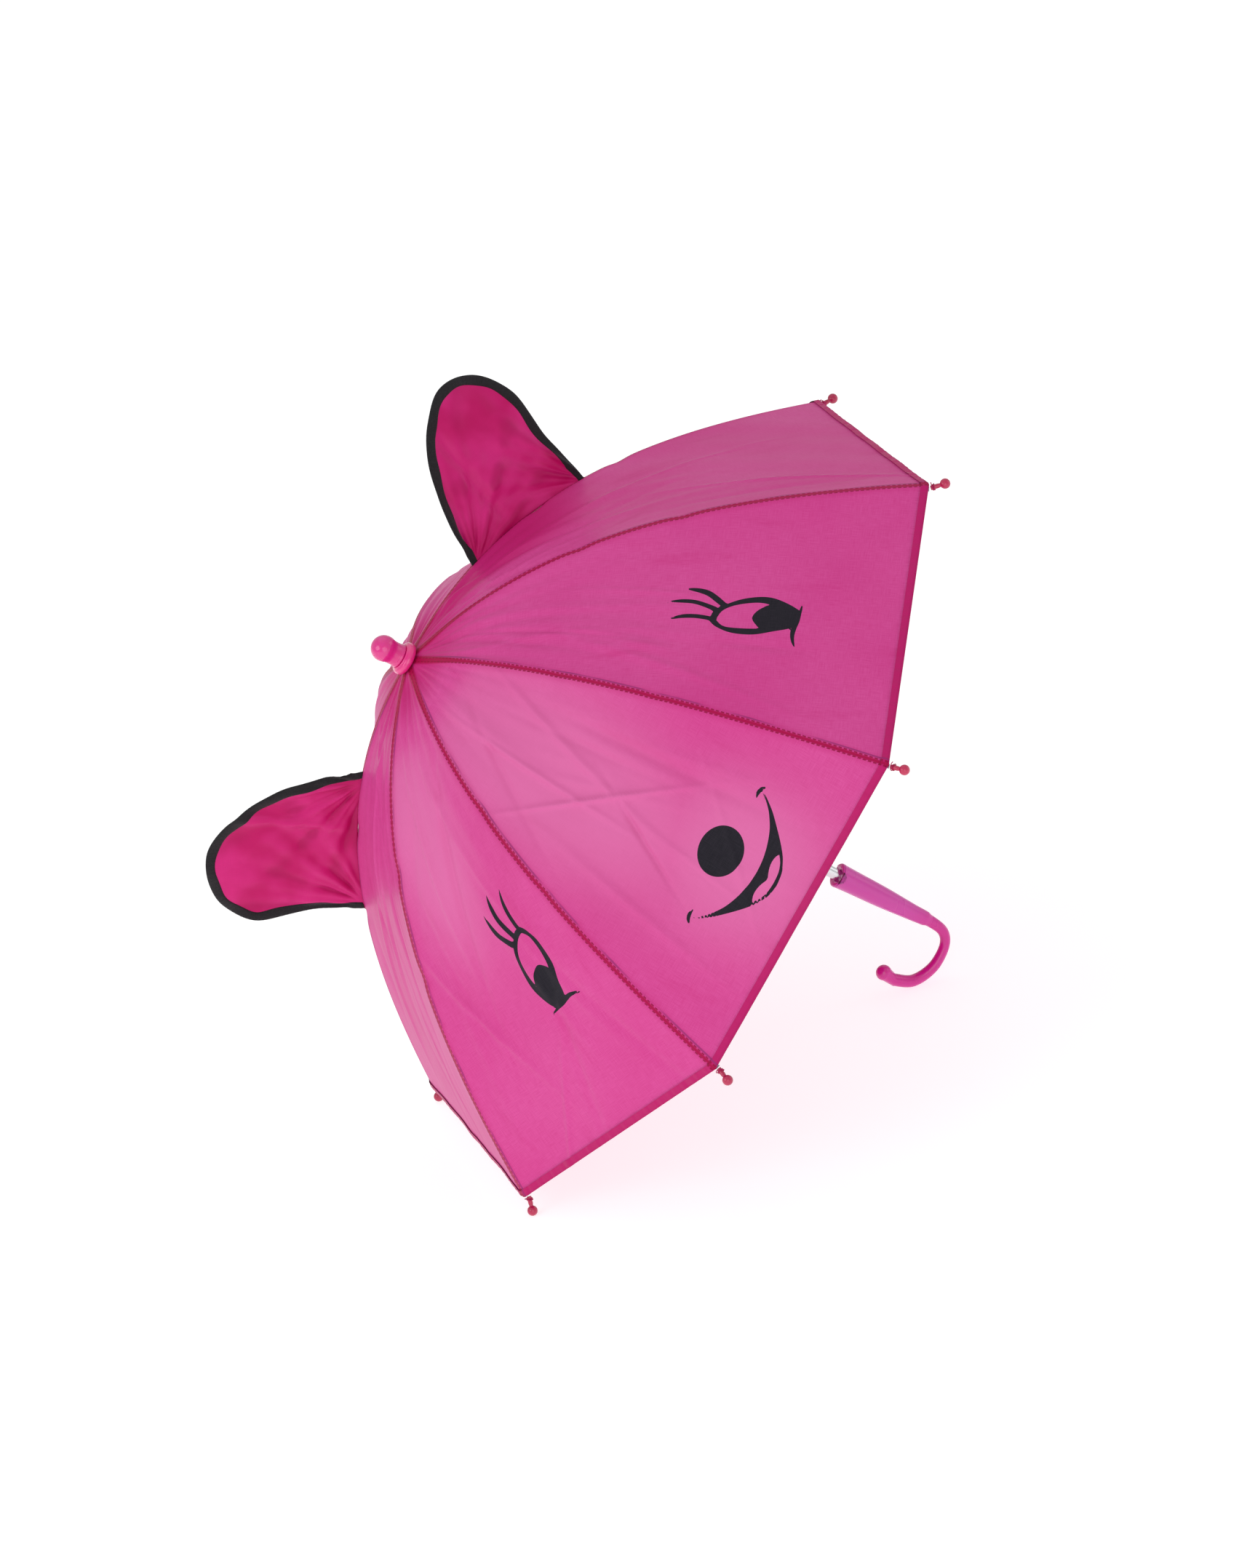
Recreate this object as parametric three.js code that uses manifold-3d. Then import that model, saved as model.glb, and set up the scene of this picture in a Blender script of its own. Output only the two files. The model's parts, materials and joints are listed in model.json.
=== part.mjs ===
// Children's umbrella: eight folding ribs under a domed canopy with two fabric ears, on a tube with a
// hooked handle. Millimetres, +Z up.
//
// Every piece is drawn about the umbrella's own axis: its local Z runs up the tube to the ferrule and its
// z = 0 is the plane through the tip balls. "Radius" is the distance from that axis. The open umbrella is
// then laid down as it rests on a floor, on two tip balls and the hook, with its top to -X.
import * as THREE from 'three';
import { mergeVertices } from 'three/addons/utils/BufferGeometryUtils.js';
import Module from 'manifold-3d';

const manifoldLibrary = await Module();
manifoldLibrary.setup();

// ---- Driving sizes ---------------------------------------------------------------------------------

const GAP = 0.3; // between pieces that touch on the real umbrella
const PAST = 1; // how far a cutting shape runs past the face that it opens
const WIDE_CUT = 40; // width of a cutting shape that goes right through a piece

const RIB_COUNT = 8;
const RIB_STEP = (2 * Math.PI) / RIB_COUNT;

// The canopy's outside along a rib: a cubic curve from the crown down to the corner by the tip.
const OPEN_RADIUS = 300; // circle through the centres of the tip balls
const TIP_REACH = 6; // how far the tip balls stand outside the fabric's corners
const CORNER_HEIGHT = 8.6; // fabric corners over the plane of the tip balls
const CROWN_HEIGHT = 221.8;
const CROWN_RADIUS = 13.5;
const CROWN_SLOPE = THREE.MathUtils.degToRad(9);
const CROWN_PULL = 131.7;
const RIM_SLOPE = THREE.MathUtils.degToRad(55.3);
const RIM_PULL = 119.6;
const FABRIC = 1; // thickness of the canopy's solid
const CANOPY_ROWS = 18;

const TUBE_RADIUS = 4;
const TUBE_WALL = 0.6;
const TUBE_IN_HANDLE = 44;

const RIB_WIDTH = 2.4;
const RIB_HEIGHT = 3;
const RIB_UNDER_FABRIC = 0.7; // clear of the fabric's inside, measured at the ridge
const HINGE_RADIUS = 10; // the rings that the ribs and stretchers turn on
const HINGE_WIRE = 0.8; // radius
const RIB_EYE = 1.7; // radius
const CLOSED_TIP_RADIUS = 18; // where the tip balls stand when the umbrella is folded

const JOINT_SHARE = 0.4; // where the stretcher meets the rib, along the canopy's curve
const JOINT_BELOW_RIB = 2.4;
const JOINT_EYE = 2;
const RIVET_RADIUS = 0.8;
const RIVET_HEAD_RADIUS = 1.5;
const RIVET_HEAD = 0.5;

const STRETCHER_WIDTH = 2.4;
const STRETCHER_HEIGHT = 3;
const FORK_CHEEK = 0.8;
const FORK_LENGTH = 22;
const FORK_ROOT = 2; // half length of the block that joins the cheeks to the bar

const HUB_RADIUS = 13; // the slotted rings of the top notch and the runner
const NOTCH_DEPTH = 6; // of the top notch, below its ring wire

const RUNNER_OPEN_HEIGHT = 108; // of the stretchers' ring when the umbrella is open
const RUNNER_HUB_ABOVE = 3;
const RUNNER_HUB_BELOW = 4;
const RUNNER_LENGTH = 35;
const SLEEVE_RADIUS = 5.9;
const FLANGE_RADIUS = 8.5;
const FLANGE_HEIGHT = 3;
const FLANGE_SLOPE = 1.5; // height of the slope between the flange and the sleeve
const HUB_FLARE = 5; // height over which the sleeve widens to the hub
const HUB_EDGE = 3; // flat width round the underside of the hub

const CATCH_WIDTH = 1.2;
const CATCH_LENGTH = 10;
const CATCH_REACH = 6.2; // radius of a released catch's nose
const CATCH_ROOT = 1; // radius of its inner edge
const CATCH_FROM_END = 6; // up from the runner's lower end
const CATCH_NOSE = 2; // height of the nose's straight edge, below its slope
const CATCH_SUNK = 0.1; // how far a pressed catch's nose is inside the tube's face
const TOP_CATCH_ANGLE = 0;
const BOTTOM_CATCH_ANGLE = Math.PI;

const STOP_PIN_RADIUS = 1.2;
const STOP_PIN_REACH = 6.4;
const STOP_PIN_INSIDE = 1; // how far it stands into the tube

const TIP_SHANK = 1.6; // radius
const TIP_BALL = 3.5; // radius

const COLLAR_RADIUS = 11.3;
const COLLAR_HEIGHT = 6.4;
const COLLAR_ROUND = 1; // bevel of its edges
const COLLAR_SHOULDER = 2.2; // where its upper bevel starts, below its top
const COLLAR_STEP = 0.6; // how far its top stands out round the ferrule's neck
const FERRULE_NECK = 8;
const FERRULE_BALL = 8.9;
const FERRULE_BALL_ABOVE_COLLAR = 12.5;
const FERRULE_SOCKET = 7; // how far the tube goes into the ferrule

// The handle: a tapering grip below the tube, then a hook in the plane of the umbrella's underside.
// Each entry is [radius from the axis, height over the handle's top, radius of the rod].
const HANDLE_ROUTE = [
  [0, 0, 8.7],
  [0, -22, 7.7],
  [0, -44, 6.3],
  [0, -62, 5.1],
  [0, -80, 4.1],
  [2.8, -92, 3.7],
  [12, -98, 3.6],
  [28, -98, 3.9],
  [42, -90, 4.2],
  [47.3, -77, 4.4],
];
const HOOK_END = [46, -67.8, 5.5];
const ROD_IN_BALL = 0.6; // how much slimmer than its end ball the rod is at the ball's middle
const HANDLE_SADDLE_RADIUS = 5.4; // the round notch across the handle's top
const HANDLE_SADDLE_DEPTH = 3.4;
const HANDLE_BELOW_CATCH = 36.574; // its top, below the foot of the bottom catch

// The ears stand on the seams over ribs 1 and 6. Their outlines run from the end near the crown to the end
// near the rim, in millimetres from the middle of the base: along it, and out from it.
const EAR_FABRIC = 1.2;
const EAR_BINDING = 2.2; // thickness of the folded tape
const EAR_STEPS = 40; // straight pieces round an ear's outline
const EAR_BINDING_WIDTH = 5.6;
const EARS = {
  upper: {
    rib: 1,
    baseFrom: 0.17,
    baseTo: 0.475,
    outline: [[-52.5, 0], [-48.5, 35], [-35, 76], [-6, 107], [24, 103], [43, 78], [46.5, 40], [52, 0]],
  },
  lower: {
    rib: 6,
    baseFrom: 0.215,
    baseTo: 0.545,
    outline: [[-58, 0], [-45, 51], [-24, 84], [8, 106], [45, 100], [65, 75], [58, 36], [57.5, 0]],
  },
};

const STRAP = { rib: 8, from: 0.8, to: 0.985, inner: 0.12, outer: 0.3, thickness: 0.8 };

// ---- Materials -------------------------------------------------------------------------------------

const paint = (color, roughness, metalness = 0) =>
  new THREE.MeshStandardMaterial({ color, roughness, metalness });
const MATERIALS = {
  canopy: paint(0xd4509b, 0.6),
  ear: paint(0xc81e78, 0.6),
  binding: paint(0x1c1a1e, 0.8),
  steel: paint(0xc9cacd, 0.25, 1),
  darkSteel: paint(0x6e6f76, 0.4, 1),
  ferrule: paint(0xeb2d87, 0.25),
  handle: paint(0xc42f92, 0.3),
  tip: paint(0xbe2350, 0.35),
  nylon: paint(0xe9e7ea, 0.45),
};

// ---- Solids ----------------------------------------------------------------------------------------

/** The manifold-3d solid of a closed three.js geometry. */
function toSolid(geometry) {
  const plain = new THREE.BufferGeometry();
  plain.setAttribute('position', geometry.getAttribute('position'));
  plain.setIndex(geometry.getIndex());
  const welded = mergeVertices(plain, 1e-4);
  const mesh = new manifoldLibrary.Mesh({
    numProp: 3,
    vertProperties: new Float32Array(welded.getAttribute('position').array),
    triVerts: new Uint32Array(welded.getIndex().array),
  });
  return new manifoldLibrary.Manifold(mesh);
}

/** The three.js geometry of a manifold-3d solid. */
function toGeometry(solid) {
  const mesh = solid.getMesh();
  const geometry = new THREE.BufferGeometry();
  geometry.setAttribute('position', new THREE.BufferAttribute(mesh.vertProperties, 3));
  geometry.setIndex(new THREE.BufferAttribute(mesh.triVerts, 1));
  return geometry;
}

const join = (...pieces) => toGeometry(manifoldLibrary.Manifold.union(pieces.map(toSolid)));
const cut = (base, ...tools) =>
  toGeometry(tools.reduce((left, tool) => left.subtract(toSolid(tool)), toSolid(base)));

/** A flat outline in a rib's plane (x outward, y up the tube), `width` thick about that plane. */
function plate(points, width) {
  const shape = new THREE.Shape(points.map((p) => new THREE.Vector2(p.x, p.y)));
  const geometry = new THREE.ExtrudeGeometry(shape, { depth: width, bevelEnabled: false });
  return geometry.rotateX(Math.PI / 2).translate(0, width / 2, 0);
}

/** Limits of a width centred on 0. */
const centred = (width) => [-width / 2, width / 2];

/** A box from its limits on X, Y and Z. */
function box(x, y, z) {
  const geometry = new THREE.BoxGeometry(x[1] - x[0], y[1] - y[0], z[1] - z[0]);
  return geometry.translate((x[0] + x[1]) / 2, (y[0] + y[1]) / 2, (z[0] + z[1]) / 2);
}

/** A round bar across a rib's plane, centred on it. */
const crossBar = (radius, width, x, z, sides = 14) =>
  new THREE.CylinderGeometry(radius, radius, width, sides).translate(x, 0, z);

/** A solid of revolution about the umbrella's axis from [radius, height] pairs. */
function turned(profile, segments = 24) {
  const points = profile.map(([radius, height]) => new THREE.Vector2(radius, height));
  return new THREE.LatheGeometry(points, segments).rotateX(Math.PI / 2);
}

/** Profile of a ring of rectangular section. */
const ringProfile = (inner, outer, low, high) => [
  [inner, low],
  [outer, low],
  [outer, high],
  [inner, high],
  [inner, low],
];

/** A closed solid between two sheets of points: sheets[side][row][column], with side 0 outermost. */
function sheetSolid(sheets) {
  const [rows, columns] = [sheets[0].length, sheets[0][0].length];
  const position = sheets.flat(2).flatMap((p) => [p.x, p.y, p.z]);
  const at = (side, row, column) => (side * rows + row) * columns + column;
  const index = [];
  const quad = (a, b, c, d) => index.push(a, b, c, a, c, d);
  for (let r = 0; r + 1 < rows; r++) {
    for (let c = 0; c + 1 < columns; c++) {
      quad(at(0, r, c), at(0, r + 1, c), at(0, r + 1, c + 1), at(0, r, c + 1));
      quad(at(1, r, c), at(1, r, c + 1), at(1, r + 1, c + 1), at(1, r + 1, c));
    }
    quad(at(0, r, 0), at(1, r, 0), at(1, r + 1, 0), at(0, r + 1, 0));
    quad(at(0, r, columns - 1), at(0, r + 1, columns - 1), at(1, r + 1, columns - 1), at(1, r, columns - 1));
  }
  for (let c = 0; c + 1 < columns; c++) {
    quad(at(0, 0, c), at(0, 0, c + 1), at(1, 0, c + 1), at(1, 0, c));
    quad(at(0, rows - 1, c), at(1, rows - 1, c), at(1, rows - 1, c + 1), at(0, rows - 1, c + 1));
  }
  const geometry = new THREE.BufferGeometry();
  geometry.setAttribute('position', new THREE.Float32BufferAttribute(position, 3));
  geometry.setIndex(index);
  return geometry;
}

// ---- The canopy's curve ----------------------------------------------------------------------------

const CROWN = new THREE.Vector2(CROWN_RADIUS, CROWN_HEIGHT);
const CORNER = new THREE.Vector2(OPEN_RADIUS - TIP_REACH, CORNER_HEIGHT);
const CANOPY_CURVE = new THREE.CubicBezierCurve(
  CROWN,
  new THREE.Vector2(Math.cos(CROWN_SLOPE), -Math.sin(CROWN_SLOPE)).multiplyScalar(CROWN_PULL).add(CROWN),
  new THREE.Vector2(-Math.cos(RIM_SLOPE), Math.sin(RIM_SLOPE)).multiplyScalar(RIM_PULL).add(CORNER),
  CORNER,
);

/** A point (radius, height) `drop` below the canopy's outside. share runs from 0 at the crown to 1 at the
 *  corner, and a share under 0 goes on towards the tube in a straight line. */
function onCanopy(share, drop) {
  const along = CANOPY_CURVE.getTangent(Math.max(share, 0));
  const past = 3 * CROWN_PULL * Math.min(share, 0);
  const point = CANOPY_CURVE.getPoint(Math.max(share, 0)).addScaledVector(along, past);
  return point.addScaledVector(new THREE.Vector2(along.y, -along.x), drop);
}

/** The share at which the canopy, dropped by `drop`, has this radius. */
function shareAtRadius(radius, drop) {
  let [low, high] = [-CROWN_RADIUS / CROWN_PULL, 1];
  for (let i = 0; i < 50; i++) {
    const middle = (low + high) / 2;
    if (onCanopy(middle, drop).x < radius) low = middle;
    else high = middle;
  }
  return low;
}

/** Shares in even steps. */
const steps = (from, to, count) =>
  Array.from({ length: count + 1 }, (_, i) => from + ((to - from) * i) / count);

/** [radius, height] pairs round a ball from an angle below its middle up to its top, on the axis. */
function arc(radius, centre, from, count) {
  const angles = steps(from, Math.PI / 2, count).slice(0, -1);
  return [...angles.map((a) => [radius * Math.cos(a), centre + radius * Math.sin(a)]), [0, centre + radius]];
}

/** A point on the two half panels beside a rib. across runs from -1 to 1, from the middle of one panel over
 *  the rib to the middle of the next, and the fabric is straight from rib to rib. */
function onPanel(share, across, drop) {
  const ridge = onCanopy(share, drop);
  const halfPanel = ridge.x * Math.sin(RIB_STEP / 2);
  const fromRidge = Math.min(Math.abs(across) * halfPanel, halfPanel - GAP / 2);
  return new THREE.Vector3(
    ridge.x - fromRidge * Math.sin(RIB_STEP / 2),
    Math.sign(across) * fromRidge * Math.cos(RIB_STEP / 2),
    ridge.y,
  );
}

// ---- Where things hinge ----------------------------------------------------------------------------

const RIB_DROP = FABRIC + RIB_UNDER_FABRIC + RIB_HEIGHT / 2; // fabric's outside to the rib's centre line
const HINGE_SHARE = shareAtRadius(HINGE_RADIUS, RIB_DROP);
const RIB_PIVOT = onCanopy(HINGE_SHARE, RIB_DROP);
const RIB_JOINT = onCanopy(JOINT_SHARE, RIB_DROP + JOINT_BELOW_RIB);
const STRETCHER_PIVOT = new THREE.Vector2(HINGE_RADIUS, RUNNER_OPEN_HEIGHT);
const STRETCHER_LENGTH = RIB_JOINT.distanceTo(STRETCHER_PIVOT);
const TIP_CENTRE = new THREE.Vector2(OPEN_RADIUS, 0);

/** Angle of `to` seen from `from`, in a rib's plane, up from straight out. */
const bearing = (from, to) => Math.atan2(to.y - from.y, to.x - from.x);

// Folding turns each rib down until its tip ball stands at CLOSED_TIP_RADIUS, and the runner goes down until
// the stretchers reach the ribs again.
const RIB_OPEN = bearing(RIB_PIVOT, TIP_CENTRE);
const RIB_CLOSED = -Math.acos((CLOSED_TIP_RADIUS - HINGE_RADIUS) / RIB_PIVOT.distanceTo(TIP_CENTRE));
const RIB_FOLD = RIB_OPEN - RIB_CLOSED;
const CLOSED_JOINT = RIB_JOINT.clone().rotateAround(RIB_PIVOT, -RIB_FOLD);
const CLOSED_RISE = Math.sqrt(STRETCHER_LENGTH ** 2 - (CLOSED_JOINT.x - HINGE_RADIUS) ** 2);
const RUNNER_STROKE = STRETCHER_PIVOT.y - (CLOSED_JOINT.y - CLOSED_RISE);
const STRETCHER_OPEN = bearing(STRETCHER_PIVOT, RIB_JOINT);
const CLOSED_STRETCHER_PIVOT = new THREE.Vector2(HINGE_RADIUS, CLOSED_JOINT.y - CLOSED_RISE);
const STRETCHER_FOLD = bearing(CLOSED_STRETCHER_PIVOT, CLOSED_JOINT) - STRETCHER_OPEN;

const CATCH_TRAVEL = CATCH_REACH - TUBE_RADIUS + CATCH_SUNK;

const RUNNER_BOTTOM = RUNNER_OPEN_HEIGHT + RUNNER_HUB_ABOVE - RUNNER_LENGTH;
const TOP_CATCH_HEIGHT = RUNNER_BOTTOM + CATCH_FROM_END;
const BOTTOM_CATCH_HEIGHT = TOP_CATCH_HEIGHT - RUNNER_STROKE;
const HANDLE_TOP = BOTTOM_CATCH_HEIGHT - HANDLE_BELOW_CATCH;
const CANOPY_START = shareAtRadius((TUBE_RADIUS + GAP) / Math.cos(RIB_STEP / 2), FABRIC); // clear of the tube
const COLLAR_BOTTOM = onCanopy(CANOPY_START, 0).y + GAP;
const FERRULE_BOTTOM = COLLAR_BOTTOM + COLLAR_HEIGHT + GAP;
const FERRULE_CENTRE = COLLAR_BOTTOM + COLLAR_HEIGHT + FERRULE_BALL_ABOVE_COLLAR;
const TUBE_TOP = FERRULE_BOTTOM + FERRULE_SOCKET;
const TUBE_BOTTOM = HANDLE_TOP - TUBE_IN_HANDLE;
const STOP_PIN_HEIGHT = RUNNER_OPEN_HEIGHT + RUNNER_HUB_ABOVE + GAP + STOP_PIN_RADIUS;

// ---- Pieces on the tube ----------------------------------------------------------------------------

/** The opening in the tube that a catch slides through. */
const catchOpening = (height, angle) => {
  const heights = [height - GAP, height + CATCH_LENGTH + GAP];
  return box([0, TUBE_RADIUS + PAST], centred(CATCH_WIDTH + 2 * GAP), heights).rotateZ(angle);
};

function shaftTube() {
  const tube = turned(ringProfile(TUBE_RADIUS - TUBE_WALL, TUBE_RADIUS, TUBE_BOTTOM, TUBE_TOP), 28);
  const pinHole = new THREE.CylinderGeometry(STOP_PIN_RADIUS + GAP, STOP_PIN_RADIUS + GAP, TUBE_RADIUS * 2, 12)
    .rotateZ(Math.PI / 2)
    .translate(TUBE_RADIUS + PAST, 0, STOP_PIN_HEIGHT)
    .rotateZ(RIB_STEP);
  return cut(
    tube,
    catchOpening(TOP_CATCH_HEIGHT, TOP_CATCH_ANGLE),
    catchOpening(BOTTOM_CATCH_HEIGHT, BOTTOM_CATCH_ANGLE),
    pinHole,
  );
}

function stopPin() {
  const inner = TUBE_RADIUS - TUBE_WALL - STOP_PIN_INSIDE;
  return new THREE.CylinderGeometry(STOP_PIN_RADIUS, STOP_PIN_RADIUS, STOP_PIN_REACH - inner, 12)
    .rotateZ(Math.PI / 2)
    .translate((STOP_PIN_REACH + inner) / 2, 0, STOP_PIN_HEIGHT)
    .rotateZ(RIB_STEP);
}

/** A spring catch about its own lower edge: square below, sloped above. */
function springCatch() {
  const outline = [
    { x: CATCH_ROOT, y: 0 },
    { x: CATCH_REACH, y: 0 },
    { x: CATCH_REACH, y: CATCH_NOSE },
    { x: TUBE_RADIUS, y: CATCH_LENGTH },
    { x: CATCH_ROOT, y: CATCH_LENGTH },
  ];
  return plate(outline, CATCH_WIDTH);
}

/** Slots for the ribs or stretchers around a hub. */
const hubSlots = (eye, width, low, high) => {
  const radii = [HINGE_RADIUS - eye - GAP, HUB_RADIUS + PAST];
  const slot = (i) => box(radii, centred(width + 2 * GAP), [low, high]).rotateZ(ribAngle(i + 1));
  return Array.from({ length: RIB_COUNT }, (_, i) => slot(i));
};

/** The groove in a hub's top for the ring wire. */
const wireGroove = (height, top) => {
  const room = HINGE_WIRE + GAP;
  return turned(ringProfile(HINGE_RADIUS - room, HINGE_RADIUS + room, height - room, top + PAST), 40);
};

function topNotch() {
  const top = RIB_PIVOT.y + HINGE_WIRE;
  const bottom = RIB_PIVOT.y - NOTCH_DEPTH;
  const hub = turned(ringProfile(TUBE_RADIUS + GAP, HUB_RADIUS, bottom, top), 40);
  return cut(hub, wireGroove(RIB_PIVOT.y, top), ...hubSlots(RIB_EYE, RIB_WIDTH, bottom - PAST, top + PAST));
}

const ringWire = () => new THREE.TorusGeometry(HINGE_RADIUS, HINGE_WIRE, 6, 40);

/** The groove in the runner's bore that a catch's nose runs in. */
const keyway = (low, high, angle) =>
  box([0, CATCH_REACH + GAP], centred(CATCH_WIDTH + 2 * GAP), [low, high]).rotateZ(angle);

function runner() {
  const top = RUNNER_OPEN_HEIGHT + RUNNER_HUB_ABOVE;
  const hubBottom = RUNNER_OPEN_HEIGHT - RUNNER_HUB_BELOW;
  const bore = TUBE_RADIUS + GAP;
  const body = turned([
    [bore, RUNNER_BOTTOM],
    [FLANGE_RADIUS, RUNNER_BOTTOM],
    [FLANGE_RADIUS, RUNNER_BOTTOM + FLANGE_HEIGHT],
    [SLEEVE_RADIUS, RUNNER_BOTTOM + FLANGE_HEIGHT + FLANGE_SLOPE],
    [SLEEVE_RADIUS, hubBottom - HUB_FLARE],
    [HUB_RADIUS - HUB_EDGE, hubBottom],
    [HUB_RADIUS, hubBottom],
    [HUB_RADIUS, top],
    [bore, top],
    [bore, RUNNER_BOTTOM],
  ], 40);
  const catchTop = TOP_CATCH_HEIGHT + CATCH_LENGTH;
  return cut(
    body,
    wireGroove(RUNNER_OPEN_HEIGHT, top),
    ...hubSlots(JOINT_EYE, STRETCHER_WIDTH, hubBottom - HUB_FLARE - PAST, top + PAST),
    keyway(TOP_CATCH_HEIGHT - GAP, top + PAST, TOP_CATCH_ANGLE),
    keyway(RUNNER_BOTTOM - PAST, catchTop + GAP, BOTTOM_CATCH_ANGLE),
  );
}

function ferruleCollar() {
  const [low, high] = [COLLAR_BOTTOM, COLLAR_BOTTOM + COLLAR_HEIGHT];
  return turned([
    [TUBE_RADIUS + GAP, low],
    [COLLAR_RADIUS - COLLAR_ROUND, low],
    [COLLAR_RADIUS, low + COLLAR_ROUND],
    [COLLAR_RADIUS, high - COLLAR_SHOULDER],
    [COLLAR_RADIUS - COLLAR_ROUND, high - COLLAR_ROUND],
    [FERRULE_NECK + COLLAR_STEP, high],
    [TUBE_RADIUS + GAP, high],
    [TUBE_RADIUS + GAP, low],
  ]);
}

function ferruleCap() {
  const ballFrom = -Math.acos(FERRULE_NECK / FERRULE_BALL);
  const ball = arc(FERRULE_BALL, FERRULE_CENTRE, ballFrom, 9);
  return turned([
    [TUBE_RADIUS + GAP, FERRULE_BOTTOM],
    [FERRULE_NECK, FERRULE_BOTTOM],
    ...ball,
    [0, TUBE_TOP + GAP],
    [TUBE_RADIUS + GAP, TUBE_TOP + GAP],
    [TUBE_RADIUS + GAP, FERRULE_BOTTOM],
  ]);
}

// ---- The handle ------------------------------------------------------------------------------------

const HANDLE_PATH = new THREE.CatmullRomCurve3(
  HANDLE_ROUTE.map(([out, up]) => new THREE.Vector3(-out, 0, HANDLE_TOP + up)),
  false,
  'centripetal',
);

/** Radius of the handle's rod at u from 0 to 1 along its route. */
function rodRadius(u) {
  const at = u * (HANDLE_ROUTE.length - 1);
  const i = Math.min(Math.floor(at), HANDLE_ROUTE.length - 2);
  return THREE.MathUtils.lerp(HANDLE_ROUTE[i][2], HANDLE_ROUTE[i + 1][2], at - i);
}

/** [centre, radius] of round sections along the handle, to its end ball. */
const HANDLE_SECTIONS = steps(0, 1, 32).map((u) => [HANDLE_PATH.getPoint(u), rodRadius(u)]);
const HOOK_BALL = new THREE.Vector3(-HOOK_END[0], 0, HANDLE_TOP + HOOK_END[1]);

function handle() {
  const sides = 16;
  const across = new THREE.Vector3(0, 1, 0);
  const sections = [...HANDLE_SECTIONS, [HOOK_BALL, HOOK_END[2] - ROD_IN_BALL]];
  const rings = sections.map(([centre, radius], i) => {
    const before = sections[Math.max(i - 1, 0)][0];
    const after = sections[Math.min(i + 1, sections.length - 1)][0];
    const inPlane = after.clone().sub(before).normalize().cross(across);
    return steps(0, 2 * Math.PI, sides).slice(0, sides).map((a) => {
      const [side, depth] = [radius * Math.cos(a), radius * Math.sin(a)];
      return centre.clone().addScaledVector(inPlane, side).addScaledVector(across, depth);
    });
  });
  const position = rings.flat().flatMap((p) => [p.x, p.y, p.z]);
  const index = [];
  for (let r = 0; r + 1 < rings.length; r++) {
    for (let s = 0; s < sides; s++) {
      const [a, b] = [r * sides + s, r * sides + ((s + 1) % sides)];
      index.push(a, b + sides, b, a, a + sides, b + sides);
    }
  }
  for (let s = 1; s + 1 < sides; s++) {
    const last = (rings.length - 1) * sides;
    index.push(0, s, s + 1, last, last + s + 1, last + s);
  }
  const rod = new THREE.BufferGeometry();
  rod.setAttribute('position', new THREE.Float32BufferAttribute(position, 3));
  rod.setIndex(index);
  const ball = new THREE.SphereGeometry(HOOK_END[2], 16, 10).translate(...HOOK_BALL);
  const socket = turned([
    [0, TUBE_BOTTOM - GAP],
    [TUBE_RADIUS + GAP, TUBE_BOTTOM - GAP],
    [TUBE_RADIUS + GAP, HANDLE_TOP + PAST],
    [0, HANDLE_TOP + PAST],
  ], 28);
  const saddle = new THREE.CylinderGeometry(HANDLE_SADDLE_RADIUS, HANDLE_SADDLE_RADIUS, WIDE_CUT, 28)
    .translate(0, 0, HANDLE_TOP + HANDLE_SADDLE_RADIUS - HANDLE_SADDLE_DEPTH);
  return cut(join(rod, ball), socket, saddle);
}

// ---- Ribs, stretchers and tips ---------------------------------------------------------------------

/** A rib's direction round the axis: ribs 1 and 2 are uppermost, and the numbers run clockwise seen from
 *  the ferrule. */
function ribAngle(number) {
  return RIB_STEP / 2 - RIB_STEP * (number - 1);
}

/** A rib about its hinge at the top notch. */
function rib() {
  const shares = steps(HINGE_SHARE, 1, CANOPY_ROWS);
  const top = shares.map((s) => onCanopy(s, RIB_DROP - RIB_HEIGHT / 2));
  const bottom = shares.map((s) => onCanopy(s, RIB_DROP + RIB_HEIGHT / 2)).reverse();
  const eye = crossBar(RIB_EYE, RIB_WIDTH, RIB_PIVOT.x, RIB_PIVOT.y);
  const lug = crossBar(JOINT_EYE, RIB_WIDTH, RIB_JOINT.x, RIB_JOINT.y);
  const eyeHole = crossBar(HINGE_WIRE + GAP, WIDE_CUT, RIB_PIVOT.x, RIB_PIVOT.y);
  const lugHole = crossBar(RIVET_RADIUS + GAP, WIDE_CUT, RIB_JOINT.x, RIB_JOINT.y);
  const solid = cut(join(plate([...top, ...bottom], RIB_WIDTH), eye, lug), eyeHole, lugHole);
  return solid.translate(-RIB_PIVOT.x, 0, -RIB_PIVOT.y);
}

/** A tip about the hinge of its rib: a shank that carries on from the rib's end, and a ball. */
function ribTip() {
  const end = onCanopy(1, RIB_DROP);
  const reach = end.distanceTo(TIP_CENTRE);
  const ball = arc(TIP_BALL, reach, -Math.acos(TIP_SHANK / TIP_BALL), 6);
  const start = GAP + TIP_SHANK / 2;
  return turned([[0, start], [TIP_SHANK, start], ...ball], 12)
    .rotateY(Math.PI / 2 - bearing(end, TIP_CENTRE))
    .translate(end.x - RIB_PIVOT.x, 0, end.y - RIB_PIVOT.y);
}

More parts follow.
